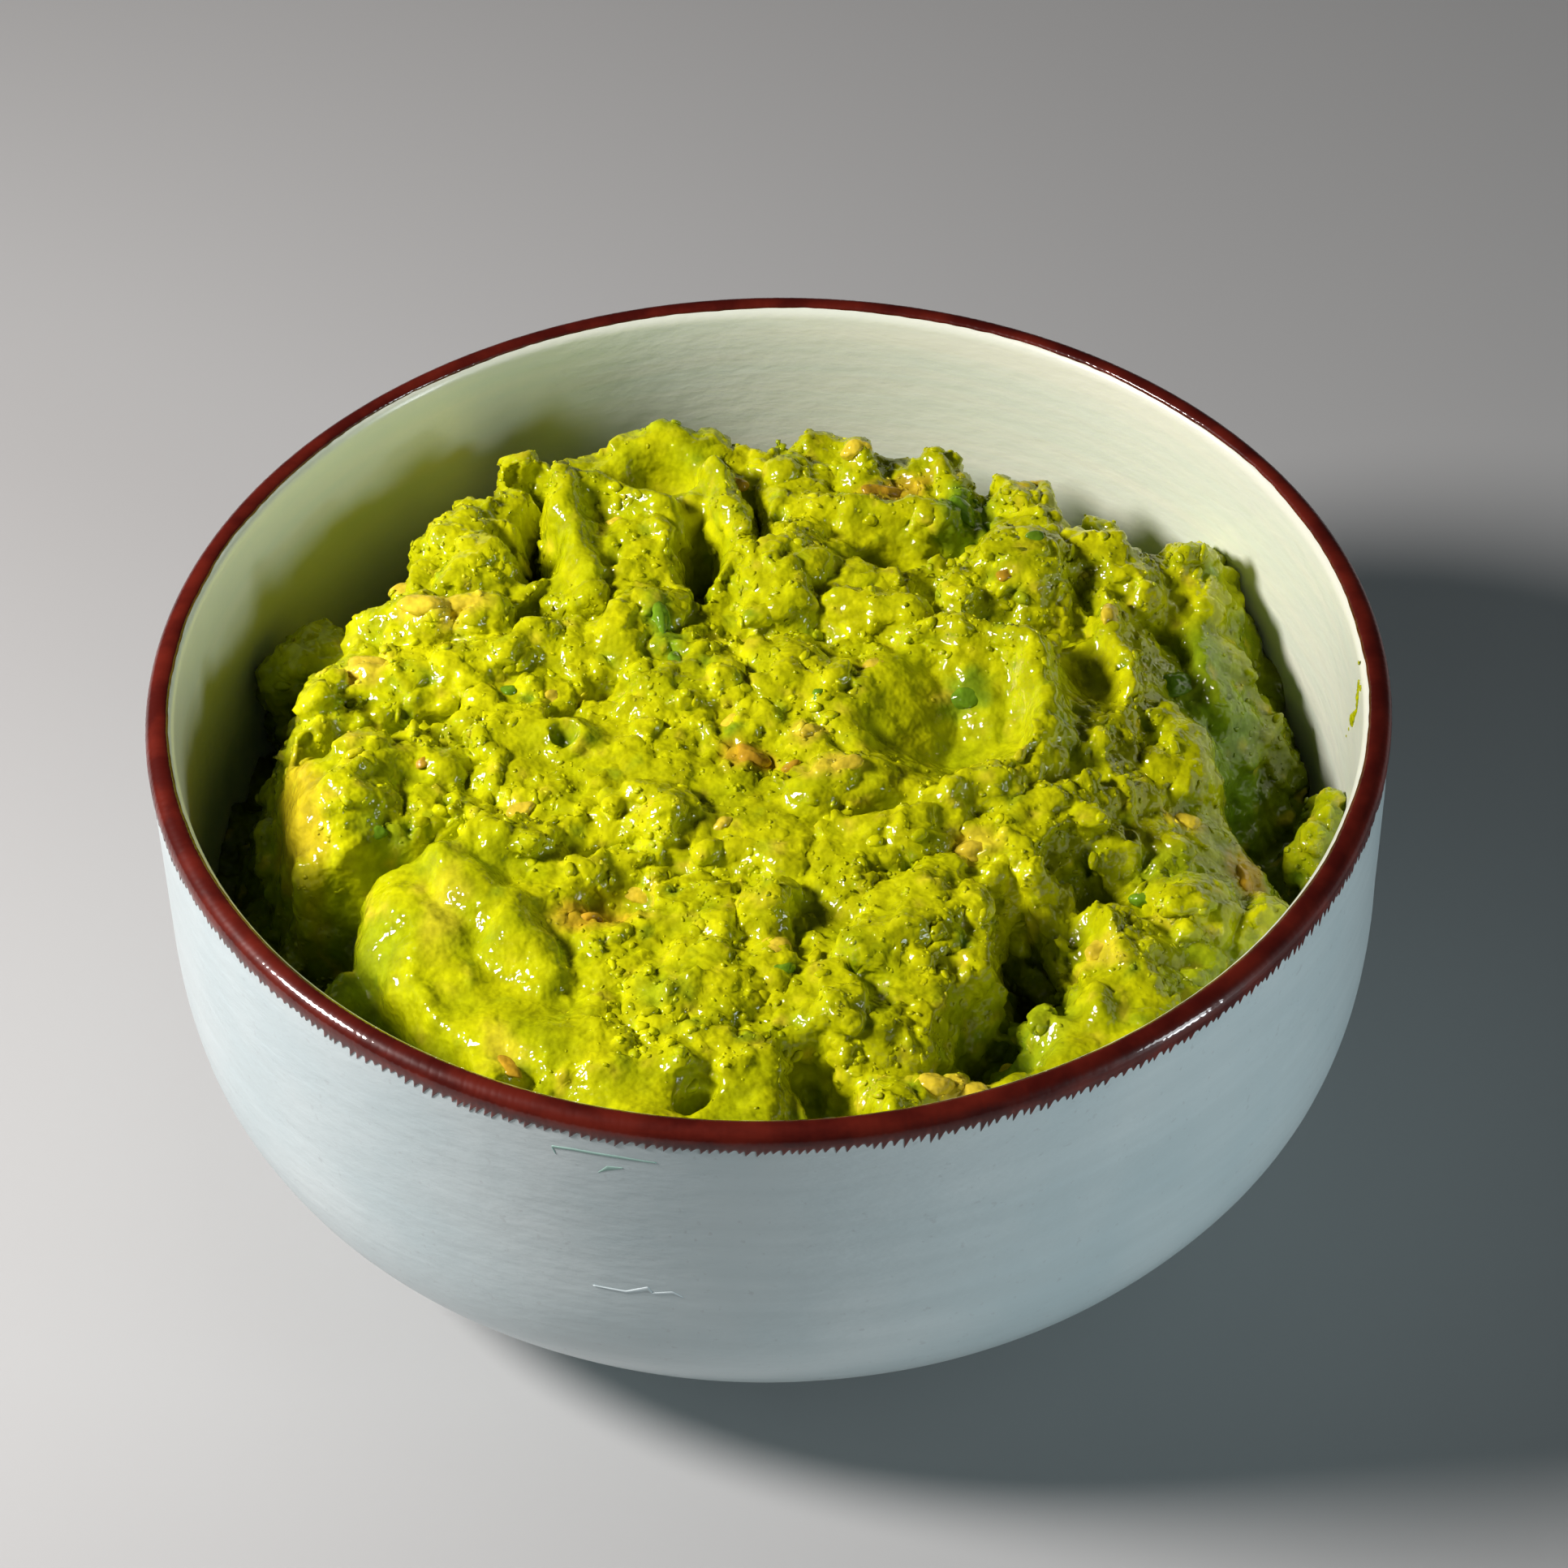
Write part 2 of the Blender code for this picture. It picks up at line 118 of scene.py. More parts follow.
# Ridges: two ends as (x, y, depth), how steeply the sides fall, radius of the top
RIDGES = [
    ((-25, 47.5, 5.7), (-24.5, 39, 6.0), 1.5, 0.8),
    ((-24.5, 39, 6.0), (-22.5, 25, 8.4), 1.2, 1.2), ((-24, 46.5, 6.4), (-13, 43, 7.4), 1.0, 1.0),
    ((-6, 50, 6.3), (-2.5, 37, 7.0), 1.4, 0.8),
    ((8, 43, 7.4), (22, 41, 7.2), 1.3, 1.4), ((22.5, 29.5, 6.8), (26, 18, 9.0), 1.2, 1.0),
    ((-46, 23, 7.2), (-34, 23, 7.2), 0.9, 2.5), ((-39, 13.5, 7.8), (-28, 18.5, 8.0), 0.9, 2.0),
    ((-38, -20, 7.0), (-27, -38.5, 8.4), 0.5, 2.0), ((34, -32, 11.5), (37, -45, 12.5), 0.9, 1.5),
    ((10, 23, 7.6), (17, 21.5, 7.4), 0.9, 1.2), ((20, 17, 7.4), (28, 17, 7.0), 0.9, 1.2),
    ((28, 17, 7.0), (33, 12, 6.6), 1.3, 0.8), ((33, 12, 6.6), (34.5, -2.5, 6.6), 1.3, 0.8),
    ((34.5, -2.5, 6.6), (28, -9.5, 6.8), 1.2, 1.0), ((28, -9.5, 6.8), (18, -16, 7.4), 1.0, 1.2),
    ((18, -16, 7.8), (2, -21.5, 9.0), 0.5, 2.5), ((41, 25, 8.5), (46, 6.5, 10.5), 0.9, 1.0),
    ((53, 34, 11.0), (56, 14.5, 17.0), 0.7, 1.5)]
# Hollows: x, y, half length, half width, turn in degrees, depth below the surface
HOLLOWS = [
    (-14, 50, 7, 4.5, 0, 6), (-8, 35, 8.5, 3.6, 85, 9), (16, 34.5, 6, 3.6, 20, 10),
    (21, 27.5, 6, 3, 70, 6), (24, 36.5, 6, 3, 20, 7), (31, 19.5, 7, 3, 0, 5),
    (22, 3, 13, 12, 0, 7), (-29.5, 24.5, 4.5, 2.6, 40, 7), (-23, 23.5, 4, 2, 0, 4),
    (-25, 6, 3.4, 2.8, 0, 6), (-20, -26.5, 7, 4, 10, 4), (-20, -17, 7, 4, 20, 3.5),
    (14, -12.5, 5, 3, 30, 4), (40, 11, 6, 4, 70, 3), (-9, -58, 4, 2.4, 70, 5),
    (-38, 2.5, 5, 3, 10, 3), (-3, 19.5, 6, 3, 0, 2.5), (-20, 11.5, 5, 3, 40, 3),
    (31, -35, 12, 5.5, -68, 8), (26, -50, 9, 5, 45, 6), (-37, -4, 4, 8, 10, 3), (6, 21, 9, 3, 10, 3),
    (38, 20, 6, 4, 60, 4), (-33, 39, 4, 3, 0, 4), (47, 6, 8, 3, 80, 3), (-8, -22, 9, 4, 0, 3)]
# Clefts: two ends as (x, y), half width, depth below the surface
CLEFTS = [
    ((-29, 51), (-29.5, 33), 3.2, 12), ((-1, 46), (-0.5, 36.5), 2.6, 7), ((4, -53), (8, -62), 3.4, 10),
    ((20, -51), (27, -42), 3.6, 10), ((27.5, -27.5), (31, -40), 4.0, 9), ((35, -20.5), (43, -26), 3.6, 8),
    ((-50, -20), (-38, -14), 3.0, 9), ((-55, 1), (-38, 8.5), 3.0, 6), ((-33, -61.5),
    (-29, -55.5), 2.4, 6),
    ((-44, 36), (-50, 28), 2.4, 4), ((26.5, 39.5), (29.5, 49.5), 2.2, 4), ((40.5, 39.5),
    (37.5, 49.5), 2.2, 4)]

# Where the mash was smeared smooth: x, y, half length, half width, turn in degrees, how smooth
SMOOTH_PLACES = [
    (-39, -35, 22, 11, -65, 1.4), (22, 3, 12, 11, 0, 0.9), (-15, -61, 19, 6, 0, 0.8),
    (-57, -7, 9, 4, 80, 0.9), (-14, 50, 9, 6, 0, 0.9), (13, 39, 7, 4, -60, 0.9),
    (39, 9, 9, 6, 80, 0.6), (36, -52, 14, 7, 30, 0.8), (-25, 0, 8, 6, 20, 0.5),
    (4, -14, 12, 5, 10, 0.5), (55, 0, 26, 7, 90, 0.5), (-12, -9, 10, 5, 0, 0.5),
    (-23, 37, 9, 4, 80, 0.8), (-10, 45, 6, 4, 30, 0.7)]

# Places of another colour: x, y, half length, half width, turn in degrees, kind, strength
COLOUR_PLACES = [
    (-40, 22.5, 6, 2.6, 5, "yellow", 1.0), (-50, 14.5, 3, 2.2, 0, "yellow", 1.0),
    (-36, 57, 3, 2.5, 0, "yellow", 0.9), (-3, -3, 3.5, 2.2, -20, "tan", 1.0),
    (5, 0, 2.5, 1.8, 0, "yellow", 0.9), (8, -8, 3, 2, 10, "yellow", 0.9),
    (24, -19, 3, 2.4, 0, "yellow", 0.7), (-57, -9, 3, 10, 10, "tan", 0.6),
    (-21, -29, 5, 3, 10, "tan", 0.9), (17, 46, 6, 2.4, 20, "tan", 0.8),
    (57, -16, 2, 6, 10, "tan", 0.9), (50, -9.5, 3, 2, 0, "yellow", 1.0),
    (-39, -30, 2.5, 6, -10, "yellow", 0.4), (-31, -52, 2, 5, 25, "yellow", 0.5),
    (21, -57, 4, 2.6, 0, "yellow", 1.0), (-24, -66, 5, 2, 0, "yellow", 0.6),
    (38, -34, 3, 2, 40, "yellow", 0.6), (-43, -52, 4, 3, 20, "tan", 0.5),
    (26, 42, 3.5, 5, -20, "green", 1.0), (24.5, 9, 3.5, 2.4, 10, "green", 0.9),
    (-12.5, 19.5, 2, 5, 20, "green", 0.9), (-12, 60, 9, 3, 0, "green", 0.5),
    (56, 12, 5, 12, 10, "green", 0.7), (52, -36, 8, 6, 30, "green", 0.5),
    (30, -44, 5, 8, -20, "green", 0.5), (-47, -14, 3, 2, 0, "green", 0.6),
    (-51, -36, 5, 8, -30, "green", 0.5), (6, -62, 4, 3, 0, "green", 0.5),
    (48, -20, 5, 4, 0, "green", 0.4), (-13, -44, 3, 3, 0, "green", 0.4)]

# Air holes: x, y, radius
HOLES = [
    (-43.5, -13, 0.9), (-41.2, -13.2, 0.7), (-39.2, -10, 1.0), (-44.5, 7.5, 0.9),
    (-52, 9, 0.7), (-33.5, -8.5, 0.5), (28, -52, 0.9), (-25, 0.5, 1.6), (16, -22, 0.7),
    (-8, 27, 1.2), (2, 41, 0.9), (38, -18, 0.8), (-19, 33, 0.8), (44, 12, 0.8), (9, -40, 0.7)]

# Deep dents with torn sides, or mounds where the depth is negative:
# x, y, half length, half width, turn in degrees, depth
DENTS = [
    (-17, 36, 8, 8, 0, -2.6), (17, 6, 11, 9, 0, -3.6), (-8, 35, 3, 7, 0, 2),
    (35, -31, 7, 4, -60, 5), (41, -21, 5, 2.6, 30, 4), (16, 34, 4, 2.6, 10, 4), (-8, 34, 6, 2.2, 85, 3),
    (-29.5, 40, 7, 1.8, 88, 4), (-44, -16.5, 5, 1.6, 20, 3), (-28, 23, 3, 1.6, 30, 3),
    (8, -61, 5, 2.2, 60, 4), (27, -50, 4, 2, 50, 3), (-25, 5, 2.4, 1.6, 20, 3), (40, 27, 5, 1.6, -60, 3)]

# Loose pieces: x, y, half length, half width, half height, turn in degrees
YELLOW_PIECES = [
    (-37, 58, 2.6, 2.0, 1.8, 60), (-42, 22.5, 3.4, 1.8, 1.3, 8), (-50, 15, 2.6, 1.7, 1.2, -10),
    (-48, 44, 1.8, 1.2, 1.0, 30), (5, 0, 1.7, 1.1, 0.9, 20), (8.5, -8, 2.4, 1.4, 1.0, 15),
    (-5, 3, 2.4, 1.5, 0.9, 40), (24, -19.5, 2.2, 1.7, 1.2, 0), (18, -56.5, 2.3, 1.6, 1.3, 30),
    (22, -57.5, 2.6, 1.7, 1.3, -20), (27, -46.5, 1.2, 0.8, 0.7, 10), (50.5, -9.5, 1.8, 1.2, 1.0, 0),
    (-16, -24, 2.2, 1.3, 1.0, -30), (12, 51, 2.0, 1.3, 1.1, 10), (35, 47, 1.7, 1.2, 0.9, 0),
    (38, -33, 1.9, 1.2, 0.9, 50), (-30, -11, 1.8, 1.2, 0.8, 20), (0, -36, 2.0, 1.4, 1.0, -15),
    (-46, 31, 2.0, 1.4, 1.1, 15), (43, 20, 1.8, 1.1, 0.9, 80), (-19, 41, 1.3, 0.9, 0.8, 0),
    (-27, 9, 1.6, 1.1, 0.9, 60), (13, 12, 1.5, 1.0, 0.7, 0), (-6, -15, 1.6, 1.1, 0.8, 35)]
TAN_PIECES = [
    (-2, -3.5, 2.2, 1.3, 0.9, -25), (2.5, -5.5, 1.3, 0.9, 0.7, 20), (-22, -29, 1.9, 1.2, 0.8, 10),
    (16, 46, 3.4, 1.1, 0.9, 22), (57, -16, 1.0, 3.0, 0.9, 10), (-3, 48, 1.2, 0.9, 0.8, 0),
    (-42, -3, 1.2, 0.8, 0.6, 30), (30, 26, 1.2, 0.9, 0.7, 0), (-31, -53, 1.0, 2.4, 0.6, 30)]
GREEN_PIECES = [
    (26, 43, 2.2, 2.8, 1.2, -20), (24.5, 9, 2.4, 1.7, 0.9, 15), (-13, 21, 1.1, 2.8, 1.6, 15),
    (-11.5, 14, 0.9, 1.8, 0.8, 5), (-47, -14, 1.2, 0.9, 0.7, 0), (1, -40, 1.5, 0.9, 0.7, 20),
    (-32, 10, 1.1, 0.8, 0.6, 0), (51, 16, 2.6, 2.0, 1.1, 30), (44, -24, 1.5, 1.0, 0.8, -20),
    (34, 31, 1.4, 0.9, 0.8, 10), (6, 6, 1.0, 0.8, 0.6, 0), (-5, 60, 2.6, 1.2, 0.9, 0)]

# Colours, linear
MASH = (0.445, 0.495, 0.001)
# The paler mash colour: laid on at random, and as painted light on crests
MASH_PALE_AND_PAINTED_LIGHT = (0.64, 0.665, 0.003)
# The darker green: laid on at random, and as painted shade in creases and deep low places
MASH_DARK_AND_PAINTED_SHADE = (0.155, 0.25, 0.001)
KINDS = {"yellow": (0.78, 0.62, 0.04), "tan": (0.56, 0.34, 0.02), "green": (0.15, 0.30, 0.012)}

GRADIENTS = np.random.default_rng(7).normal(size=(4096, 3))
GRADIENTS /= np.linalg.norm(GRADIENTS, axis=1)[:, None]
JITTER = np.random.default_rng(8).random((4096, 3))


# ---------------------------------------------------------------- shape functions

def outline_distance(x, y, outline):
    """Distance to a closed outline, positive inside it."""
    nearest = np.full(x.shape, np.inf)
    inside = np.zeros(x.shape, bool)
    for (ax, ay), (bx, by) in zip(outline, outline[1:] + outline[:1]):
        dx, dy = bx - ax, by - ay
        along = np.clip(((x - ax) * dx + (y - ay) * dy) / (dx * dx + dy * dy), 0, 1)
        nearest = np.minimum(nearest, np.hypot(x - ax - along * dx, y - ay - along * dy))
        if dy:
            inside ^= ((ay > y) != (by > y)) & (x < dx * (y - ay) / dy + ax)
    return np.where(inside, nearest, -nearest)


def layer(x, y, outline, top, shoulder, steepness):
    """A flat-topped mass: rounded at its outline and falling steeply outside it."""
    inside = outline_distance(x, y, outline)
    edge = np.clip((shoulder - inside) / shoulder, 0, 1)
    drop = shoulder * (1 - np.sqrt(1 - edge * edge))
    return top - drop - steepness * np.maximum(-inside, 0)


def ellipse_distance(x, y, cx, cy, length, width, turn):
    """Distance from an ellipse's middle, 1 on its outline."""
    c, s = cos(radians(turn)), sin(radians(turn))
    along = ((x - cx) * c + (y - cy) * s) / length
    across = ((y - cy) * c - (x - cx) * s) / width
    return np.hypot(along, across)


def segment_distance(x, y, start, end):
    """Distance to a straight line between two points, and how far along it the nearest is."""
    dx, dy = end[0] - start[0], end[1] - start[1]
    along = np.clip(((x - start[0]) * dx + (y - start[1]) * dy) / (dx * dx + dy * dy), 0, 1)
    return np.hypot(x - start[0] - along * dx, y - start[1] - along * dy), along


def unevenness(x, y, size, seed):
    """Smooth noise between about -1 and 1 whose features are about size across."""
    flat = [noise.noise(Vector((px / size, py / size, seed))) for px, py in zip(x.flat, y.flat)]
    return np.array(flat).reshape(x.shape)


def bulges(x, y, size):
    """Rounded cells about size across: 1 at a cell's middle, lower in the creases between."""
    flat = [noise.voronoi(Vector((px / size, py / size, 0)))[0][0] for px, py in zip(x.flat, y.flat)]
    return 1 - np.array(flat).reshape(x.shape) ** 2 * 2


def surface(x, y):
    """Height of the guacamole's surface, as minus its depth below the rim."""
    x = x + BEND * unevenness(x, y, BEND_SIZE, 3.1)
    y = y + BEND * unevenness(x, y, BEND_SIZE, 7.7)
    z = -BED_DEPTH + BED_ROUGHNESS * unevenness(x, y, BED_SIZE, 1.3)
    lean = RIGHT_LEAN * np.maximum(x - RIGHT_EDGE, 0)
    z = np.maximum(z, layer(x, y, LOWER_OUTLINE, -LOWER_TOP - lean, 3.0, 6.0))
    crown = CROWN_ROUGHNESS * unevenness(x, y, CROWN_SIZE, 5.2)
    crown = crown - CROWN_LEAN * np.maximum(x - CROWN_EDGE, 0)
    z = np.maximum(z, layer(x, y, UPPER_OUTLINE, -UPPER_TOP + crown, 2.2, 3.0))
    for cx, cy, length, width, turn, depth, height in LUMPS:
        away = ellipse_distance(x, y, cx, cy, length, width, turn)
        dome = height * np.sqrt(np.clip(1 - away * away, 0, 1)) - height - depth
        z = np.where(away < 1, np.maximum(z, dome), z)
    for start, end, fall, radius in RIDGES:
        away, along = segment_distance(x, y, start, end)
        crest = -start[2] + (start[2] - end[2]) * along
        flank = fall * (np.hypot(away, radius) - radius) + RIDGE_SPREAD * away * away
        z = np.maximum(z, crest - flank)
    for cx, cy, length, width, turn, depth in HOLLOWS:
        away = ellipse_distance(x, y, cx, cy, length, width, turn)
        z = z - depth * np.clip(1 - away * away, 0, 1) ** 1.5
    for start, end, width, depth in CLEFTS:
        away, _ = segment_distance(x, y, start, end)
        z = z - depth * np.clip(1 - away / width, 0, 1)
    fine = FINE_ROUGHNESS * unevenness(x, y, FINE_SIZE, 9.4)
    return z + fine + BULGE_HEIGHT * bulges(x, y, BULGE_SIZE)


def lattice_pick(cell, seed):
    """A repeatable pick from the noise tables for each whole-number cell."""
    mixed = cell[:, 0] * 73856093 ^ cell[:, 1] * 19349663 ^ cell[:, 2] * 83492791 ^ seed * 2654435
    return (mixed ^ (mixed >> 13)) & 4095


def perlin(points, size, seed):
    """Smooth 3D noise, about -0.8 to 0.8, with features about size across."""
    place = points / size
    cell = np.floor(place).astype(np.int64)
    part = place - cell
    ease = part ** 3 * (part * (part * 6 - 15) + 10)
    total = np.zeros(len(points))
    for corner in product((0, 1), repeat=3):
        slope = GRADIENTS[lattice_pick(cell + corner, seed)]
        weight = np.prod(np.where(corner, ease, 1 - ease), axis=1)
        total += weight * np.einsum("ij,ij->i", part - corner, slope)
    return total * 1.6


def perlin_vector(points, size, seed):
    return np.stack([perlin(points, size, seed * 7 + k) for k in range(3)], 1)


def curd_cells(points, size, seed):
    """Distance to the nearest scattered centre in cell sizes, and that centre's pick."""
    place = points / size
    cell = np.floor(place).astype(np.int64)
    near = np.full(len(points), 9.0)
    owner = np.zeros(len(points), np.int64)
    for corner in product((-1, 0, 1), repeat=3):
        pick = lattice_pick(cell + corner, seed)
        away = cell + corner + JITTER[pick] - place
        apart = np.einsum("ij,ij->i", away, away)
        closer = apart < near
        owner = np.where(closer, pick, owner)
        near = np.where(closer, apart, near)
    return np.sqrt(near), owner


# ---------------------------------------------------------------- mesh helpers

def new_object(name, mesh):
    made = bpy.data.objects.new(name, mesh)
    bpy.context.scene.collection.objects.link(made)
    return made


def baked(made):
    """The object with its modifiers applied, in place of the old mesh."""
    depsgraph = bpy.context.evaluated_depsgraph_get()
    mesh = bpy.data.meshes.new_from_object(made.evaluated_get(depsgraph))
    old = made.data
    made.modifiers.clear()
    made.data = mesh
    bpy.data.meshes.remove(old)
    return made


def coordinates(mesh):
    flat = np.empty(len(mesh.vertices) * 3)
    mesh.vertices.foreach_get("co", flat)
    return flat.reshape(-1, 3) / MM


def set_coordinates(mesh, points):
    mesh.vertices.foreach_set("co", (points * MM).ravel())
    mesh.update()


def vertex_normals(mesh):
    flat = np.empty(len(mesh.vertices) * 3)
    mesh.vertex_normals.foreach_get("vector", flat)
    return flat.reshape(-1, 3)


def set_colours(mesh, name, colours):
    layer_made = mesh.color_attributes.new(name, "FLOAT_COLOR", "POINT")
    four = np.ones((len(colours), 4))
    four[:, :3] = colours
    layer_made.data.foreach_set("color", four.ravel())


def mesh_from(name, points, faces):
    mesh = bpy.data.meshes.new(name)
    mesh.from_pydata((np.asarray(points) * MM).tolist(), [], faces)
    mesh.update()
    return mesh


def finished(made, node, material):
    """Gives a piece its material and ties it to the frame."""
    made.data.shade_smooth()
    made.data.materials.clear()
    made.data.materials.append(material)
    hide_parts(node)
    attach(made, "root")
    return made


# ---------------------------------------------------------------- bowl

def superellipse(radius, depth, turn):
    power = 2.0 / BELLY_POWER
    return radius * cos(turn) ** power, STRAIGHT_DEPTH + depth * sin(turn) ** power


def belly_depth(at_radius, radius, depth):
    return STRAIGHT_DEPTH + depth * (1 - (at_radius / radius) ** BELLY_POWER) ** (1 / BELLY_POWER)


def inner_radius(depth):
    """The bowl's inside radius at a depth below the rim."""
    inside = RIM_RADIUS - TAPER - WALL
    lip_inside = RIM_RADIUS - LIP_THICKNESS
    upright = lip_inside + (inside - lip_inside) * np.clip(depth / STRAIGHT_DEPTH, 0, 1)
    below = np.clip((depth - STRAIGHT_DEPTH) / INNER_BELLY, 0, 1)
    return upright * (1 - below ** BELLY_POWER) ** (1 / BELLY_POWER)


def lip_point(turn):
    """(radius, depth) on the rounded lip; pi is its inside, 0 its outside."""
    half = LIP_THICKNESS / 2
    return RIM_RADIUS - half + half * np.cos(turn), half - half * np.sin(turn)


def bowl_profile():
    """(radius, depth) from the inside's middle, over the lip and down to the underside."""
    points = []
    steps = 28
    for i in range(steps + 1):
        turn = pi / 2 * (1 - i / steps)
        points.append(superellipse(RIM_RADIUS - TAPER - WALL, INNER_BELLY, turn))
    points[0] = (0.0, STRAIGHT_DEPTH + INNER_BELLY)
    for depth in (19, 14, 9, 6, 3.5):
        points.append((float(inner_radius(depth)), float(depth)))
    points += [tuple(map(float, lip_point(pi * (1 - i / 16)))) for i in range(17)]
    for depth in (3.5, 6, 9, 14, 19):
        points.append((RIM_RADIUS - TAPER * depth / STRAIGHT_DEPTH, float(depth)))
    for i in range(steps + 1):
        points.append(superellipse(RIM_RADIUS - TAPER, OUTER_BELLY, BELLY_TURN * i / steps))
    inside = FOOT_RADIUS - FOOT_WIDTH
    points += [
        (FOOT_RADIUS + FOOT_EDGE, belly_depth(FOOT_RADIUS, RIM_RADIUS - TAPER, OUTER_BELLY)),
        (FOOT_RADIUS, BOWL_HEIGHT - FOOT_EDGE), (FOOT_RADIUS - FOOT_EDGE, BOWL_HEIGHT),
        (inside + FOOT_EDGE, BOWL_HEIGHT), (inside, BOWL_HEIGHT - FOOT_EDGE),
        (inside - FOOT_EDGE, RECESS_DEPTH), (0.0, RECESS_DEPTH)]
    return points


def make_bowl():
    mesh = bpy.data.meshes.new("bowl_glazed")
    points = [(radius * MM, 0.0, (BOWL_HEIGHT - depth) * MM) for radius, depth in bowl_profile()]
    mesh.from_pydata(points, [(i, i + 1) for i in range(len(points) - 1)], [])
    bowl = new_object("bowl_glazed", mesh)
    screw = bowl.modifiers.new("Turn", "SCREW")
    screw.steps = screw.render_steps = BOWL_STEPS
    screw.use_merge_vertices = True
    screw.merge_threshold = 0.00002
    screw.use_smooth_shade = True
    baked(bowl)
    place = coordinates(bowl.data)
    radius = np.hypot(place[:, 0], place[:, 1])
    depth = BOWL_HEIGHT - place[:, 2]
    # the turned wall isn't perfectly even
    throw = 0.13 * perlin(place * (1, 1, 2.2), 30, 60) + 0.05 * perlin(place * (0.4, 0.4, 3), 8, 61)
    wall = np.clip((depth - 2) / 6, 0, 1) * np.clip((56 - depth) / 8, 0, 1) * (radius > 20)
    place[:, :2] *= 1 + (np.minimum(throw, 0.05) * wall / np.maximum(radius, 1))[:, None]
    set_coordinates(bowl.data, place)
    inside = (radius < inner_radius(depth) + 0.5) & (depth < STRAIGHT_DEPTH + INNER_BELLY + 0.5)
    inside |= (depth < LIP_THICKNESS / 2 + 0.01) & (radius < RIM_RADIUS - LIP_THICKNESS * 0.45)
    set_colours(bowl.data, "inside", np.repeat(inside[:, None].astype(float), 3, 1))
    return finished(bowl, "bowl", bowl_material())


def rim_path(along):
    """Point on the lip at a path length from its top, outward positive, and the way out of it."""
    half = LIP_THICKNESS / 2
    turn = pi / 2 - along / half
    on_lip = turn > 0
    lip_radius, lip_depth = lip_point(np.maximum(turn, 0))
    below = np.maximum(along - half * pi / 2, 0)
    radius = np.where(on_lip, lip_radius, RIM_RADIUS - TAPER * below / STRAIGHT_DEPTH)
    depth = np.where(on_lip, lip_depth, half + below)
    out_radius = np.where(on_lip, np.cos(np.maximum(turn, 0)), 1.0)
    out_up = np.where(on_lip, np.sin(np.maximum(turn, 0)), 0.0)
    return radius, depth, out_radius, out_up


def make_rim_paint():
    """The dark painted rim: a thin coat over the lip with brushed teeth along its lower edge."""
    count = 3456
    picks = np.random.default_rng(21)
    angle = np.arange(count) * 2 * pi / count
    around = np.stack([np.cos(angle), np.sin(angle), np.zeros(count)], 1)
    # teeth: pointed strokes at uneven spacing, rounded gaps between
    teeth = np.cumsum(picks.uniform(0.75, 1.35, 452))
    teeth = teeth / teeth[-1] * count
    length = picks.uniform(0.55, 1.35, len(teeth)) * (1 + 0.25 * np.sin(np.arange(len(teeth)) * 0.11))
    place = np.arange(count)[:, None]
    apart = np.abs((place - teeth[None] + count / 2) % count - count / 2) / (count / 452)
    spike = (length[None] * np.clip(1 - apart / 0.42, 0, 1) ** 1.2).max(1)
    edge = 3.35 + 0.3 * perlin(around * 75, 30, 70) + 0.2 * perlin(around * 75, 5, 71)
    edge = edge + spike
    start = -1.15 + 0.22 * perlin(around * 75, 12, 72) + 0.08 * perlin(around * 75, 2, 73)
    slant = 0.5 * perlin(around * 75, 60, 74) - 0.25
    rows = 13
    points = []
    thin = []
    shares = np.concatenate([np.linspace(0, 0.72, 8), [0.79, 0.85, 0.90, 0.95, 1.0]])
    for row in range(rows):
        along = start + (edge - start) * shares[row]
        radius, depth, out_radius, out_up = rim_path(along)
        rise = 0.10 * np.clip(min(shares[row], 1 - shares[row]) / 0.06, 0.15, 1)
        rise = rise + 0.02 * perlin(around * 75 + row, 1.2, 75)
        turned = angle + slant * np.maximum(along - 3.1, 0) / RIM_RADIUS
        points.append(np.stack([
            (radius + out_radius * rise) * np.cos(turned),
            (radius + out_radius * rise) * np.sin(turned),
            BOWL_HEIGHT - depth + out_up * rise], 1))
        thin.append(np.full(count, np.clip((shares[row] - 0.72) / 0.28, 0, 1)))
    for row in (rows - 1, 0):
        along = start + (edge - start) * shares[row]
        radius, depth, out_radius, out_up = rim_path(along)
        turned = angle + slant * np.maximum(along - 3.1, 0) / RIM_RADIUS
        points.append(np.stack([
            (radius - out_radius * 0.3) * np.cos(turned), (radius - out_radius * 0.3) * np.sin(turned),
            BOWL_HEIGHT - depth - out_up * 0.3], 1))
        thin.append(np.full(count, float(row > 0)))
    rings = len(points)
    index = np.arange(rings * count).reshape(rings, count)
    following = np.roll(index, -1, axis=1)
    below = np.roll(index, -1, axis=0)
    faces = np.stack([index, below, np.roll(below, -1, axis=1), following], -1).reshape(-1, 4)
    paint = new_object("rim_paint", mesh_from("rim_paint", np.concatenate(points), faces.tolist()))
    set_colours(paint.data, "thin", np.repeat(np.concatenate(thin)[:, None], 3, 1))
    return finished(paint, "bowl", paint_material())


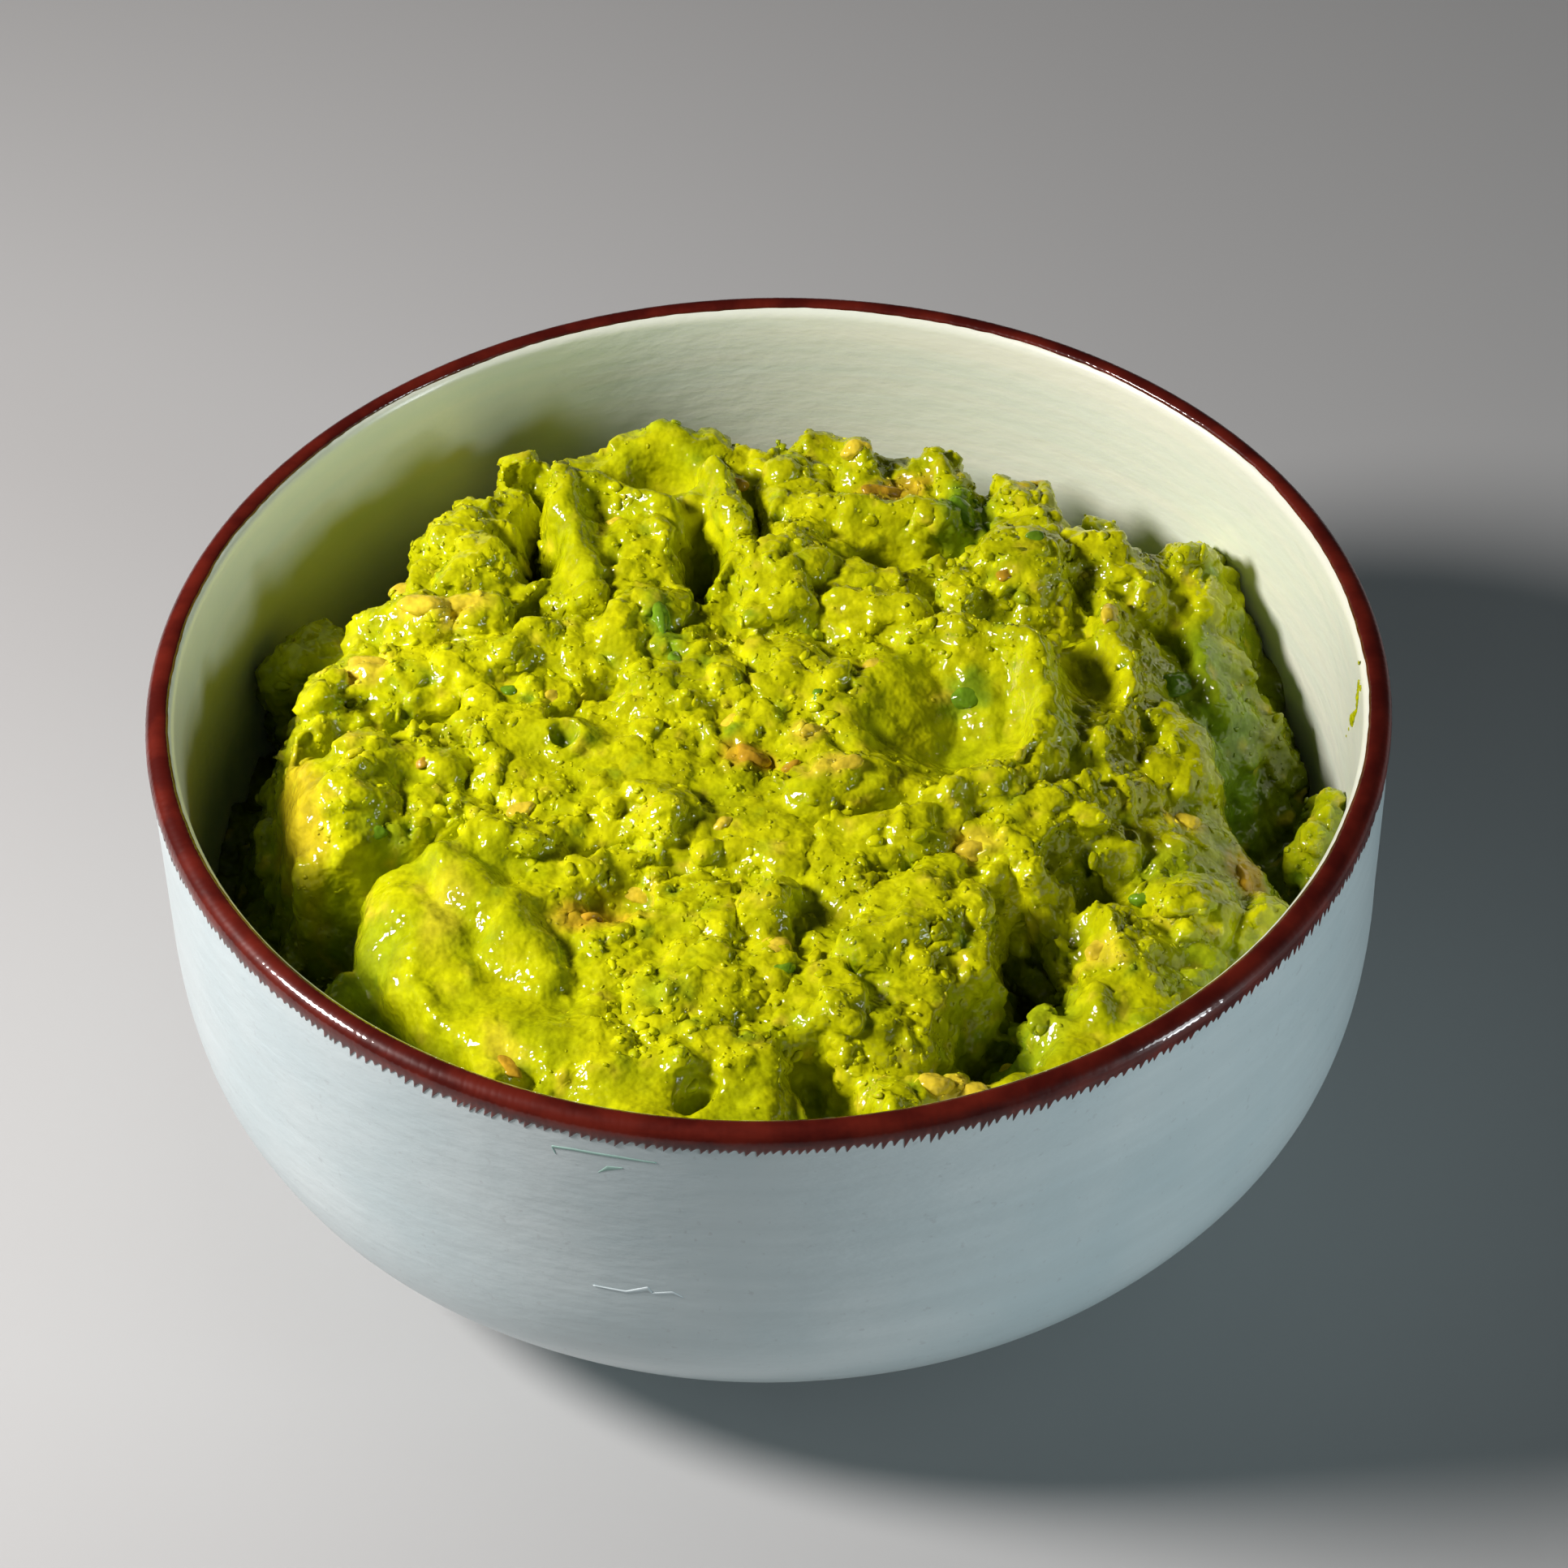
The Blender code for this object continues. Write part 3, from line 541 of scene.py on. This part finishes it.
def wall_stroke(name, places, widths, rise, material):
    """A thin raised mark on the outer wall through (azimuth from the front, depth) places."""
    steps = 60
    given = np.linspace(0, 1, len(places))
    along = np.linspace(0, 1, steps)
    azimuth = np.radians(np.interp(along, given, [p[0] for p in places]))
    depth = np.interp(along, given, [p[1] for p in places])
    width = np.interp(along, given, widths)
    rows = [(-1, -0.06), (-0.6, rise * 0.8), (0, rise), (0.6, rise * 0.8), (1, -0.06)]
    points = []
    for across, height in rows:
        here = depth + across * width
        radius = RIM_RADIUS - TAPER * np.minimum(here / STRAIGHT_DEPTH, 1) + height
        points.append(np.stack(
            [radius * np.sin(azimuth), -radius * np.cos(azimuth), BOWL_HEIGHT - here], 1))
    index = np.arange(len(rows) * steps).reshape(len(rows), steps)
    quads = np.stack([index[:-1, :-1], index[1:, :-1], index[1:, 1:], index[:-1, 1:]], -1)
    back = np.stack([index[-1, :-1], index[0, :-1], index[0, 1:], index[-1, 1:]], -1)
    faces = quads.reshape(-1, 4).tolist() + back.tolist()
    faces += [index[::-1, 0].tolist(), index[:, -1].tolist()]
    mark = new_object(name, mesh_from(name, np.concatenate(points), faces))
    return finished(mark, "bowl", material)


def make_wall_marks():
    green = plain_material("Green glaze line", (0.28, 0.47, 0.42), 0.5)
    pale = plain_material("Pale glaze drip", (0.54, 0.66, 0.69), 0.7)
    wall_stroke("green_line", [(-19.6, 6.6), (-19.9, 5.6), (-18, 5.3), (-14, 5.2), (-10.6, 5.3)],
                [0.15, 0.22, 0.22, 0.25, 0.12], 0.05, green)
    wall_stroke("green_smear", [(-15.8, 8.3), (-15.0, 7.4), (-13.6, 6.9)], [0.1, 0.5, 0.1], 0.05, green)
    wall_stroke("drip", [(-17, 28.2), (-14, 28.3), (-12, 27.2), (-11.6, 27.9), (-9.8, 27.4), (-8.9, 28.0)],
                [0.05, 0.2, 0.4, 0.15, 0.3, 0.1], 0.05, pale)


# ---------------------------------------------------------------- guacamole

def ball(divisions):
    """Points and faces of a sphere of radius 1."""
    work = bmesh.new()
    bmesh.ops.create_icosphere(work, subdivisions=divisions, radius=1.0)
    points = np.array([vert.co[:] for vert in work.verts])
    faces = np.array([[vert.index for vert in face.verts] for face in work.faces])
    work.free()
    return points, faces


def disc_grid(count, radius):
    """Points of a square grid pressed into a disc, its quads and its edge."""
    line = np.linspace(-1, 1, count)
    u, v = np.meshgrid(line, line, indexing="ij")
    x = radius * u * np.sqrt(1 - v * v / 2)
    y = radius * v * np.sqrt(1 - u * u / 2)
    index = np.arange(count * count).reshape(count, count)
    quads = np.stack([index[:-1, :-1], index[1:, :-1], index[1:, 1:], index[:-1, 1:]], -1)
    edge = np.concatenate([index[:-1, 0], index[-1, :-1], index[:0:-1, -1], index[0, :0:-1]])
    return x.ravel(), y.ravel(), quads.reshape(-1, 4), edge


def smoothness(points):
    """How smooth the mash was smeared at each point, 0 to 1."""
    total = np.zeros(len(points))
    for cx, cy, length, width, turn, smooth in SMOOTH_PLACES:
        away = ellipse_distance(points[:, 0], points[:, 1], cx, cy, length, width, turn)
        total = np.maximum(total, smooth * np.clip((1.35 - away) / 0.6, 0, 1))
    return np.clip(total + 0.35 * perlin(points, 9.0, 40), 0, 1)


def stuck_lumps(picks, count):
    """Small lumps half sunk in the surface, as points and triangles."""
    base, faces = ball(2)
    x = picks.uniform(-62, 62, count)
    y = picks.uniform(-70, 62, count)
    z = surface(x, y)
    place = np.stack([x, y, z], 1)
    keep = (np.hypot(x, y) < 66) & (picks.random(count) > smoothness(place) * 1.2)
    place = place[keep]
    size = 0.5 + 1.3 * picks.random(len(place)) ** 3
    points = []
    triangles = []
    for i, middle in enumerate(place):
        stretch = size[i] * np.array([picks.uniform(1.0, 2.0), 1.0, picks.uniform(0.5, 0.8)])
        turn = Matrix.Rotation(picks.uniform(0, pi), 3, "Z")
        shape = base * (1 + 0.25 * perlin(base * 2 + i * 3.7, 1.3, 44))[:, None] * stretch
        points.append(shape @ np.array(turn).T + middle + (0, 0, 0.05 * size[i]))
        triangles.append(faces + i * len(base))
    return np.concatenate(points), np.concatenate(triangles)


def heap_block(count, radius, bottom_depth):
    """The heap before its fine relief: coarse surface, side, flat bottom and lumps on top."""
    x, y, quads, edge = disc_grid(count, radius)
    top = np.stack([x, y, surface(x, y)], 1)
    below = top[edge] * (1, 1, 0) - (0, 0, bottom_depth)
    ring = len(top) + np.arange(len(edge))
    side = np.stack([edge, ring, np.roll(ring, -1), np.roll(edge, -1)], -1)
    faces = quads.tolist() + side.tolist() + [ring[::-1].tolist()]
    lumps, triangles = stuck_lumps(np.random.default_rng(5), 800)
    first = len(top) + len(below)
    faces += (triangles + first).tolist()
    mesh = mesh_from("guacamole_heap", np.concatenate([top, below, lumps]), faces)
    return new_object("guacamole_heap", mesh)


def push(mesh, points, amount):
    """Moves each vertex out along its normal."""
    points = points + vertex_normals(mesh) * amount[:, None]
    set_coordinates(mesh, points)
    return points


def make_heap(voxel):
    heap = heap_block(170, 71.2, 38.6)
    remesh = heap.modifiers.new("Even faces", "REMESH")
    remesh.mode = "VOXEL"
    remesh.voxel_size = voxel * MM
    baked(heap)
    mesh = heap.data
    points = coordinates(mesh)
    print("heap", len(points), "vertices")
    smooth = smoothness(points)
    rough = np.clip(1.05 - smooth, 0.04, 1)
    # masses lean and overhang
    sway = perlin_vector(points * (1, 1, 1.5), 7.5, 1) * (1.2, 1.2, 0.4) * (0.3 + 0.7 * rough[:, None])
    sway += perlin_vector(points, 3.2, 2) * (0.7, 0.7, 0.25) * rough[:, None]
    points = points + sway
    set_coordinates(mesh, points)
    # relief also sets painted light on crests and painted shade in creases, in mash_colours
    relief = np.zeros(len(points))
    # torn layers with a steep edge
    for size, rise, seed in ((11.0, 0.8, 21), (5.0, 0.45, 22)):
        bent = points + 0.3 * size * perlin_vector(points, size * 0.45, seed)
        step = np.clip(0.5 + perlin(bent, size, seed) / 0.14, 0, 1)
        lift = rise * (step * step * (3 - 2 * step) - 0.5) * (0.1 + 0.9 * rough)
        relief += 0.3 * lift
        points = push(mesh, points, lift)
    # torn crests
    for size, rise, seed in ((6.5, 0.35, 31), (3.2, 0.25, 32)):
        bent = points + 0.5 * size * perlin_vector(points, size * 1.3, seed)
        crest = 0.35 - np.abs(perlin(bent, size, seed))
        lift = rise * crest * (0.25 + 0.75 * rough)
        relief += lift
        points = push(mesh, points, lift)
    # curds
    for size, rise, seed in ((2.6, 0.16, 12), (1.4, 0.32, 13), (0.9, 0.24, 14)):
        bent = points + 0.45 * size * perlin_vector(points, size * 0.9, seed)
        near, owner = curd_cells(bent, size, seed)
        own_rise = 0.25 + 1.1 * JITTER[owner, 1] ** 1.5
        lift = rise * own_rise * (0.8 - near * near * 1.6) * rough
        relief += lift
        points = push(mesh, points, lift)
    # knife and spoon streaks where it was smeared
    streak = perlin(points * (1.0, 0.16, 0.3), 1.3, 51) * 0.12 + perlin(points, 2.2, 52) * 0.14
    points = push(mesh, points, streak * smooth)
    for cx, cy, length, width, turn, fall in DENTS:
        away = ellipse_distance(points[:, 0], points[:, 1], cx, cy, length, width, turn)
        dent = -fall * np.clip(1.1 - away, 0, 1) ** 0.7
        points = points + np.array((0, 0, 1)) * (dent * (points[:, 2] > -20))[:, None]
    for cx, cy, radius in HOLES:
        away = np.hypot(points[:, 0] - cx, points[:, 1] - cy) / radius
        dent = -1.9 * radius * np.exp(-(away ** 4))
        # a hole counts as a crease in relief: painted shade in it
        relief += dent
        points = points + np.array((0, 0, 1)) * (dent * (away < 2))[:, None]
    # pressed against the glaze
    depth = -points[:, 2]
    reach = inner_radius(depth) + 0.12
    radius = np.hypot(points[:, 0], points[:, 1])
    squeeze = np.where(radius > reach, reach / np.maximum(radius, 1), 1.0)
    points[:, :2] *= squeeze[:, None]
    points[:, 2] = np.minimum(points[:, 2], -5.2) + BOWL_HEIGHT
    set_coordinates(mesh, points)
    set_colours(mesh, "tint", mash_colours(points, relief, smooth))
    close_below(mesh)
    thin = heap.modifiers.new("Fewer faces", "DECIMATE")
    thin.ratio = min(1.0, 96000 / len(mesh.polygons))
    baked(heap)
    return finished(heap, "guacamole", guacamole_material())


def mash_colours(points, relief, smooth):
    """Linear colours: paler at random and on crests (painted light), darker in creases and deep low places
    (painted shade), with patches of other flesh.
    """
    flat = points - (0, 0, BOWL_HEIGHT)
    # Paler at random, and paler where the relief rises: painted light on crests
    light = 0.42 + 0.5 * perlin(flat, 11, 80) + 0.35 * perlin(flat, 3.5, 81) + 0.25 * relief
    light += 0.15 * perlin(flat, 1.3, 82)
    # Depth below 13 mm: painted shade in low places, which also takes the paleness away there
    low = np.clip((-flat[:, 2] - 13) / 14, 0, 1)
    light = np.clip(light - 0.5 * low, 0, 1)[:, None]
    # Darker green at random, and in creases and low places: painted shade
    dark = np.clip(0.2 - 0.7 * relief + 0.8 * low - 0.5 * perlin(flat, 6, 83), 0, 1)[:, None]
    colour = np.array(MASH) * (1 - light) + np.array(MASH_PALE_AND_PAINTED_LIGHT) * light
    colour = colour * (1 - dark * 0.8) + np.array(MASH_DARK_AND_PAINTED_SHADE) * dark * 0.8
    # Darker still below 17 mm deep: painted shade in the gaps beside the wall
    colour *= 1 - 0.5 * np.clip((-flat[:, 2] - 17) / 10, 0, 1)[:, None]
    warp = perlin_vector(flat, 3.0, 13) * 1.6
    for cx, cy, length, width, turn, kind, strength in COLOUR_PLACES:
        away = ellipse_distance(
            flat[:, 0] + warp[:, 0], flat[:, 1] + warp[:, 1], cx, cy, length, width, turn)
        share = strength * 0.85 * np.clip((1.25 - away) / 0.6, 0, 1)[:, None]
        colour = colour * (1 - share) + np.array(KINDS[kind]) * share
    spots = np.clip(perlin(flat, 2.6, 84) - 0.42, 0, 1)[:, None] * 3
    colour = colour * (1 - spots * 0.5) + np.array(KINDS["yellow"]) * spots * 0.5
    spots = np.clip(perlin(flat, 3.4, 85) - 0.45, 0, 1)[:, None] * 3
    return np.clip(colour * (1 - spots * 0.6) + np.array(KINDS["green"]) * spots * 0.6, 0, 1)


def close_below(mesh):
    """Cuts the finely divided underside away and closes the heap along the bowl's inside."""
    work = bmesh.new()
    work.from_mesh(mesh)
    everything = list(work.verts) + list(work.edges) + list(work.faces)
    level = Vector((0, 0, (BOWL_HEIGHT - 37.9) * MM))
    cut = bmesh.ops.bisect_plane(
        work, geom=everything, plane_co=level, plane_no=(0, 0, -1), clear_outer=True)
    rim = [item for item in cut["geom_cut"] if isinstance(item, bmesh.types.BMEdge)]
    for depth in (44.0, 50.0, 54.5, 56.8):
        grown = bmesh.ops.extrude_edge_only(work, edges=rim)["geom"]
        reach = float(inner_radius(depth)) - 0.1
        for item in grown:
            if isinstance(item, bmesh.types.BMVert):
                flat = Vector((item.co.x, item.co.y, 0))
                item.co = flat.normalized() * reach * MM + Vector((0, 0, (BOWL_HEIGHT - depth) * MM))
        rim = [item for item in grown if isinstance(item, bmesh.types.BMEdge) and item.is_boundary]
    bmesh.ops.contextual_create(work, geom=rim)
    bmesh.ops.recalc_face_normals(work, faces=list(work.faces))
    work.to_mesh(mesh)
    work.free()


def scattered(name, heap, places, sizes, turns, divisions, colours, sink, seed):
    """Small irregular lumps on the heap's surface, facing out of it."""
    base, faces = ball(divisions)
    picks = np.random.default_rng(seed)
    middles, ups = places
    points = []
    tints = []
    for i, (middle, up) in enumerate(zip(middles, ups)):
        shape = base * (1 + 0.45 * perlin(base + picks.uniform(0, 90, 3), 1.1, 45))[:, None]
        shape = shape * sizes[i]
        frame_up = Vector(up).normalized()
        side = Vector((cos(turns[i]), sin(turns[i]), 0))
        side = (side - frame_up * side.dot(frame_up)).normalized()
        across = frame_up.cross(side)
        axes = np.array([side[:], across[:], frame_up[:]])
        points.append(shape @ axes + middle - np.array(up) * sink * sizes[i][2])
        tints.append(np.tile(colours[i], (len(base), 1)))
    count = len(points)
    index = (faces[None] + np.arange(count)[:, None, None] * len(base)).reshape(-1, 3)
    made = new_object(name, mesh_from(name, np.concatenate(points), index.tolist()))
    set_colours(made.data, "tint", np.concatenate(tints))
    return finished(made, "guacamole", guacamole_material())


def on_heap(tree, table):
    """Places on the heap straight below the named spots, and the surface's direction there."""
    middles = []
    ups = []
    for row in table:
        hit, normal, _, _ = tree.ray_cast(Vector((row[0] * MM, row[1] * MM, 0.2)), Vector((0, 0, -1)))
        middles.append(np.array(hit) / MM)
        ups.append(np.array((Vector(normal) + Vector((0, 0, 0.6))).normalized()))
    return middles, ups


def make_pieces(heap):
    mesh = heap.data
    tree = BVHTree.FromObject(heap, bpy.context.evaluated_depsgraph_get())
    for name, table, kind, seed in (
            ("yellow_flesh", YELLOW_PIECES, "yellow", 1), ("tan_flesh", TAN_PIECES, "tan", 2),
            ("green_flesh", GREEN_PIECES, "green", 3)):
        picks = np.random.default_rng(seed)
        sizes = [np.array(row[2:5]) for row in table]
        turns = [radians(row[5]) for row in table]
        own = [np.array(KINDS[kind]) * picks.uniform(0.85, 1.15) for _ in table]
        scattered(name, heap, on_heap(tree, table), sizes, turns, 3, own, 0.45, seed)
    picks = np.random.default_rng(9)
    points = coordinates(mesh)
    normals = vertex_normals(mesh)
    depth = BOWL_HEIGHT - points[:, 2]
    shown = (depth < 30) & (normals[:, 2] > 0.05) & (np.hypot(points[:, 0], points[:, 1]) < 69)
    rough = 1 - smoothness(points - (0, 0, BOWL_HEIGHT))
    clumps = np.clip(0.55 + 1.2 * perlin(points, 7.0, 90), 0.03, 1)
    weight = shown * rough * clumps
    for name, count, small, large, seed in (
            ("curds", 1300, 0.3, 0.5, 10), ("grains", 5200, 0.15, 0.2, 11)):
        count = count
        chosen = picks.choice(len(points), count, replace=False, p=weight / weight.sum())
        size = small + large * picks.random(count) ** 2.5
        sizes = [s * np.array([picks.uniform(1.0, 1.8), 1.0, picks.uniform(0.5, 0.8)]) for s in size]
        turns = picks.uniform(0, 2 * pi, count)
        # curds and grains take the mash's colour, with its painted light on crests and painted shade low
        # down
        tone = mash_colours(points[chosen], np.full(count, 0.3), np.zeros(count))
        tone = np.clip(tone * picks.uniform(0.92, 1.15, (count, 1)), 0, 1)
        divisions = 2 if name == "curds" else 1
        scattered(name, heap, (points[chosen], normals[chosen]), sizes, turns, divisions, tone,
                  0.3, seed)


def make_smear():
    """A thread and crumbs of guacamole drying on the bowl's inside by the right rim."""
    path = [(89.5, 2.6), (88.9, 4.4), (88.6, 6.0), (89.4, 7.6), (90.2, 9.4), (90.6, 10.6)]
    widths = [0.35, 0.55, 0.3, 0.35, 0.75, 0.3]
    base, faces = ball(3)
    points = []
    index = []
    picks = np.random.default_rng(31)
    spots = []
    for (start, end), (low, high) in zip(zip(path, path[1:]), zip(widths, widths[1:])):
        for share in np.linspace(0, 1, 5)[:-1]:
            spots.append((start[0] + (end[0] - start[0]) * share, start[1] + (end[1] - start[1]) * share,
                          low + (high - low) * share))
    spots += [(88.2, 2.0, 0.35), (91, 1.0, 0.25), (91.5, 12.5, 0.2), (92.2, 14.5, 0.16)]
    for azimuth, depth, width in spots:
        turn = radians(azimuth)
        out = np.array([sin(turn), -cos(turn), 0])
        shape = base * (1 + 0.3 * perlin(base + picks.uniform(0, 50, 3), 1.0, 46))[:, None]
        shape = shape * width * np.array([0.5, 1.0, 1.2])
        axes = np.array([out, np.cross((0, 0, 1), out), (0, 0, 1)])
        middle = out * float(inner_radius(depth)) + np.array([0, 0, BOWL_HEIGHT - depth])
        index.append(faces + len(points) * len(base))
        points.append(shape @ axes + middle)
    made = new_object("smear", mesh_from("smear", np.concatenate(points), np.concatenate(index).tolist()))
    set_colours(made.data, "tint", np.tile(MASH, (len(made.data.vertices), 1)))
    return finished(made, "guacamole", guacamole_material())


# ---------------------------------------------------------------- materials

def node_material(name):
    made = bpy.data.materials.new(name)
    made.use_nodes = True
    tree = made.node_tree
    return made, tree, tree.nodes["Principled BSDF"]


def plain_material(name, colour, roughness):
    made, _, shader = node_material(name)
    shader.inputs["Base Color"].default_value = (*colour, 1)
    shader.inputs["Roughness"].default_value = roughness
    return made


def noise_node(tree, scale, detail, stretch=(1, 1, 1)):
    """A noise texture in the object's own coordinates."""
    coords = tree.nodes.new("ShaderNodeTexCoord")
    mapping = tree.nodes.new("ShaderNodeMapping")
    mapping.inputs["Scale"].default_value = stretch
    made = tree.nodes.new("ShaderNodeTexNoise")
    made.inputs["Scale"].default_value = scale
    made.inputs["Detail"].default_value = detail
    tree.links.new(coords.outputs["Object"], mapping.inputs["Vector"])
    tree.links.new(mapping.outputs["Vector"], made.inputs["Vector"])
    return made.outputs["Fac"]


def spread(tree, value, low, high, to_low, to_high):
    made = tree.nodes.new("ShaderNodeMapRange")
    made.inputs["From Min"].default_value = low
    made.inputs["From Max"].default_value = high
    made.inputs["To Min"].default_value = to_low
    made.inputs["To Max"].default_value = to_high
    tree.links.new(value, made.inputs["Value"])
    return made.outputs["Result"]


def mix(tree, share, first, second):
    """Mixes two colours, each a socket or a colour."""
    made = tree.nodes.new("ShaderNodeMix")
    made.data_type = "RGBA"
    tree.links.new(share, made.inputs["Factor"])
    for socket, value in ((made.inputs[6], first), (made.inputs[7], second)):
        if isinstance(value, tuple):
            socket.default_value = (*value, 1)
        else:
            tree.links.new(value, socket)
    return made.outputs[2]


def attribute(tree, name):
    made = tree.nodes.new("ShaderNodeAttribute")
    made.attribute_name = name
    return made


def add_bump(tree, shader, value, distance, sockets=("Normal",)):
    bump = tree.nodes.new("ShaderNodeBump")
    bump.inputs["Strength"].default_value = 1.0
    bump.inputs["Distance"].default_value = distance
    tree.links.new(value, bump.inputs["Height"])
    for socket in sockets:
        tree.links.new(bump.outputs["Normal"], shader.inputs[socket])


def bowl_material():
    made, tree, shader = node_material("Glazed stoneware")
    cloud = spread(tree, noise_node(tree, 45, 5), 0.35, 0.65, 0, 1)
    streaks = spread(tree, noise_node(tree, 14, 6, (1, 1, 26)), 0.38, 0.62, 0, 1)
    specks = spread(tree, noise_node(tree, 900, 2), 0.66, 0.74, 0, 1)
    outside = mix(tree, cloud, (0.50, 0.63, 0.66), (0.60, 0.71, 0.73))
    outside = mix(tree, spread(tree, streaks, 0, 1, 0, 0.35), outside, (0.47, 0.58, 0.60))
    outside = mix(tree, spread(tree, specks, 0, 1, 0, 0.3), outside, (0.35, 0.40, 0.42))
    inside = mix(tree, streaks, (0.81, 0.87, 0.76), (0.75, 0.85, 0.75))
    inside = mix(tree, spread(tree, cloud, 0, 1, 0, 0.25), inside, (0.84, 0.89, 0.78))
    colour = mix(tree, attribute(tree, "inside").outputs["Fac"], outside, inside)
    tree.links.new(colour, shader.inputs["Base Color"])
    shader.inputs["Roughness"].default_value = 0.38
    shader.inputs["Coat Weight"].default_value = 0.5
    shader.inputs["Coat Roughness"].default_value = 0.2
    add_bump(tree, shader, noise_node(tree, 260, 3, (1, 1, 2.5)), 0.00012)
    return made


def paint_material():
    made, tree, shader = node_material("Dark red rim glaze")
    streaks = spread(tree, noise_node(tree, 160, 4, (1, 1, 3)), 0.4, 0.65, 0, 1)
    colour = mix(tree, streaks, (0.060, 0.005, 0.003), (0.120, 0.012, 0.006))
    fleck = spread(tree, noise_node(tree, 700, 3), 0.5, 0.75, 0, 0.7)
    thin = attribute(tree, "thin").outputs["Fac"]
    share = tree.nodes.new("ShaderNodeMath")
    share.operation = "MULTIPLY"
    tree.links.new(fleck, share.inputs[0])
    tree.links.new(thin, share.inputs[1])
    colour = mix(tree, share.outputs[0], colour, (0.22, 0.03, 0.015))
    tree.links.new(colour, shader.inputs["Base Color"])
    shader.inputs["Roughness"].default_value = 0.4
    shader.inputs["Specular IOR Level"].default_value = 0.15
    shader.inputs["Coat Weight"].default_value = 0.7
    shader.inputs["Coat Roughness"].default_value = 0.06
    return made


def guacamole_material():
    made = bpy.data.materials.get("Guacamole mash")
    if made:
        return made
    made, tree, shader = node_material("Guacamole mash")
    grain = spread(tree, noise_node(tree, 520, 3), 0.35, 0.68, 0.8, 1.2)
    tint = attribute(tree, "tint").outputs["Color"]
    scaled = tree.nodes.new("ShaderNodeVectorMath")
    scaled.operation = "SCALE"
    tree.links.new(tint, scaled.inputs[0])
    tree.links.new(grain, scaled.inputs["Scale"])
    tree.links.new(scaled.outputs["Vector"], shader.inputs["Base Color"])
    shader.inputs["Roughness"].default_value = 0.6
    shader.inputs["Subsurface Weight"].default_value = 0.15
    shader.inputs["Subsurface Radius"].default_value = (1.0, 0.9, 0.15)
    shader.inputs["Subsurface Scale"].default_value = 0.0012
    shader.inputs["Specular IOR Level"].default_value = 0.02
    shader.inputs["Coat Weight"].default_value = 1.0
    shader.inputs["Coat Roughness"].default_value = 0.09
    shader.inputs["Coat IOR"].default_value = 1.45
    add_bump(tree, shader, noise_node(tree, 850, 1.2), 0.00033, ("Normal", "Coat Normal"))
    return made


# ---------------------------------------------------------------- stage, camera and light

def aim(item, direction, distance, target):
    """Put an object at a distance from the target, facing it."""
    item.location = Vector(target) + Vector(direction).normalized() * distance
    item.rotation_euler = (-Vector(direction)).to_track_quat("-Z", "Y").to_euler()


def area_light(name, direction, distance, size, power, colour):
    light = bpy.data.lights.new(name, "AREA")
    light.shape = "DISK"
    light.size = size
    light.energy = power
    light.color = colour
    made = bpy.data.objects.new(name, light)
    bpy.context.scene.collection.objects.link(made)
    aim(made, direction, distance, (0, 0, BOWL_HEIGHT * MM))
    return made


def make_camera():
    """Looks down from the front, a little off the bowl's middle, with a slight roll."""
    elevation = radians(42.33)
    distance = 8.5 * RIM_RADIUS
    rim_middle = Vector((0, 0, BOWL_HEIGHT))
    place = rim_middle + Vector((0, -cos(elevation), sin(elevation))) * distance
    target = rim_middle + Vector((0.0214, -0.2466, 0)) * RIM_RADIUS
    forward = (target - place).normalized()
    right = forward.cross(Vector((0, 0, 1))).normalized()
    up = right.cross(forward)
    roll = radians(-1.36)
    tilted_right = cos(roll) * right + sin(roll) * up
    tilted_up = cos(roll) * up - sin(roll) * right
    data = bpy.data.cameras.new("Camera")
    data.sensor_width = 36
    data.lens = 121.27
    data.clip_start = 0.01
    camera = bpy.data.objects.new("Camera", data)
    bpy.context.scene.collection.objects.link(camera)
    pose = Matrix((tilted_right, tilted_up, -forward)).transposed().to_4x4()
    pose.translation = place * MM
    camera.matrix_world = pose
    bpy.context.scene.camera = camera


def make_stage():
    bpy.ops.mesh.primitive_plane_add(size=4)
    floor = bpy.context.object
    floor.name = "floor"
    floor.data.materials.append(plain_material("Pale floor", (0.46, 0.49, 0.495), 0.8))
    world = bpy.data.worlds.new("World")
    bpy.context.scene.world = world
    world.use_nodes = True
    background = world.node_tree.nodes["Background"]
    background.inputs["Color"].default_value = (0.9, 0.95, 1.0, 1)
    background.inputs["Strength"].default_value = 0.015
    area_light("Key", (-0.80, -0.10, 0.59), 0.45, 0.12, 3.25, (1.0, 0.90, 0.87))
    area_light("Fill", (0.86, -0.40, 0.22), 1.2, 0.3, 2.8, (0.90, 0.97, 1.0))
    area_light("Low fill", (0.86, -0.40, 0.02), 0.9, 0.14, 2.2, (0.90, 0.97, 1.0))
    bpy.context.scene.view_settings.view_transform = "Standard"


def main():
    make_camera()
    make_stage()
    make_bowl()
    make_rim_paint()
    make_wall_marks()
    heap = make_heap(0.4)
    make_pieces(heap)
    make_smear()


main()
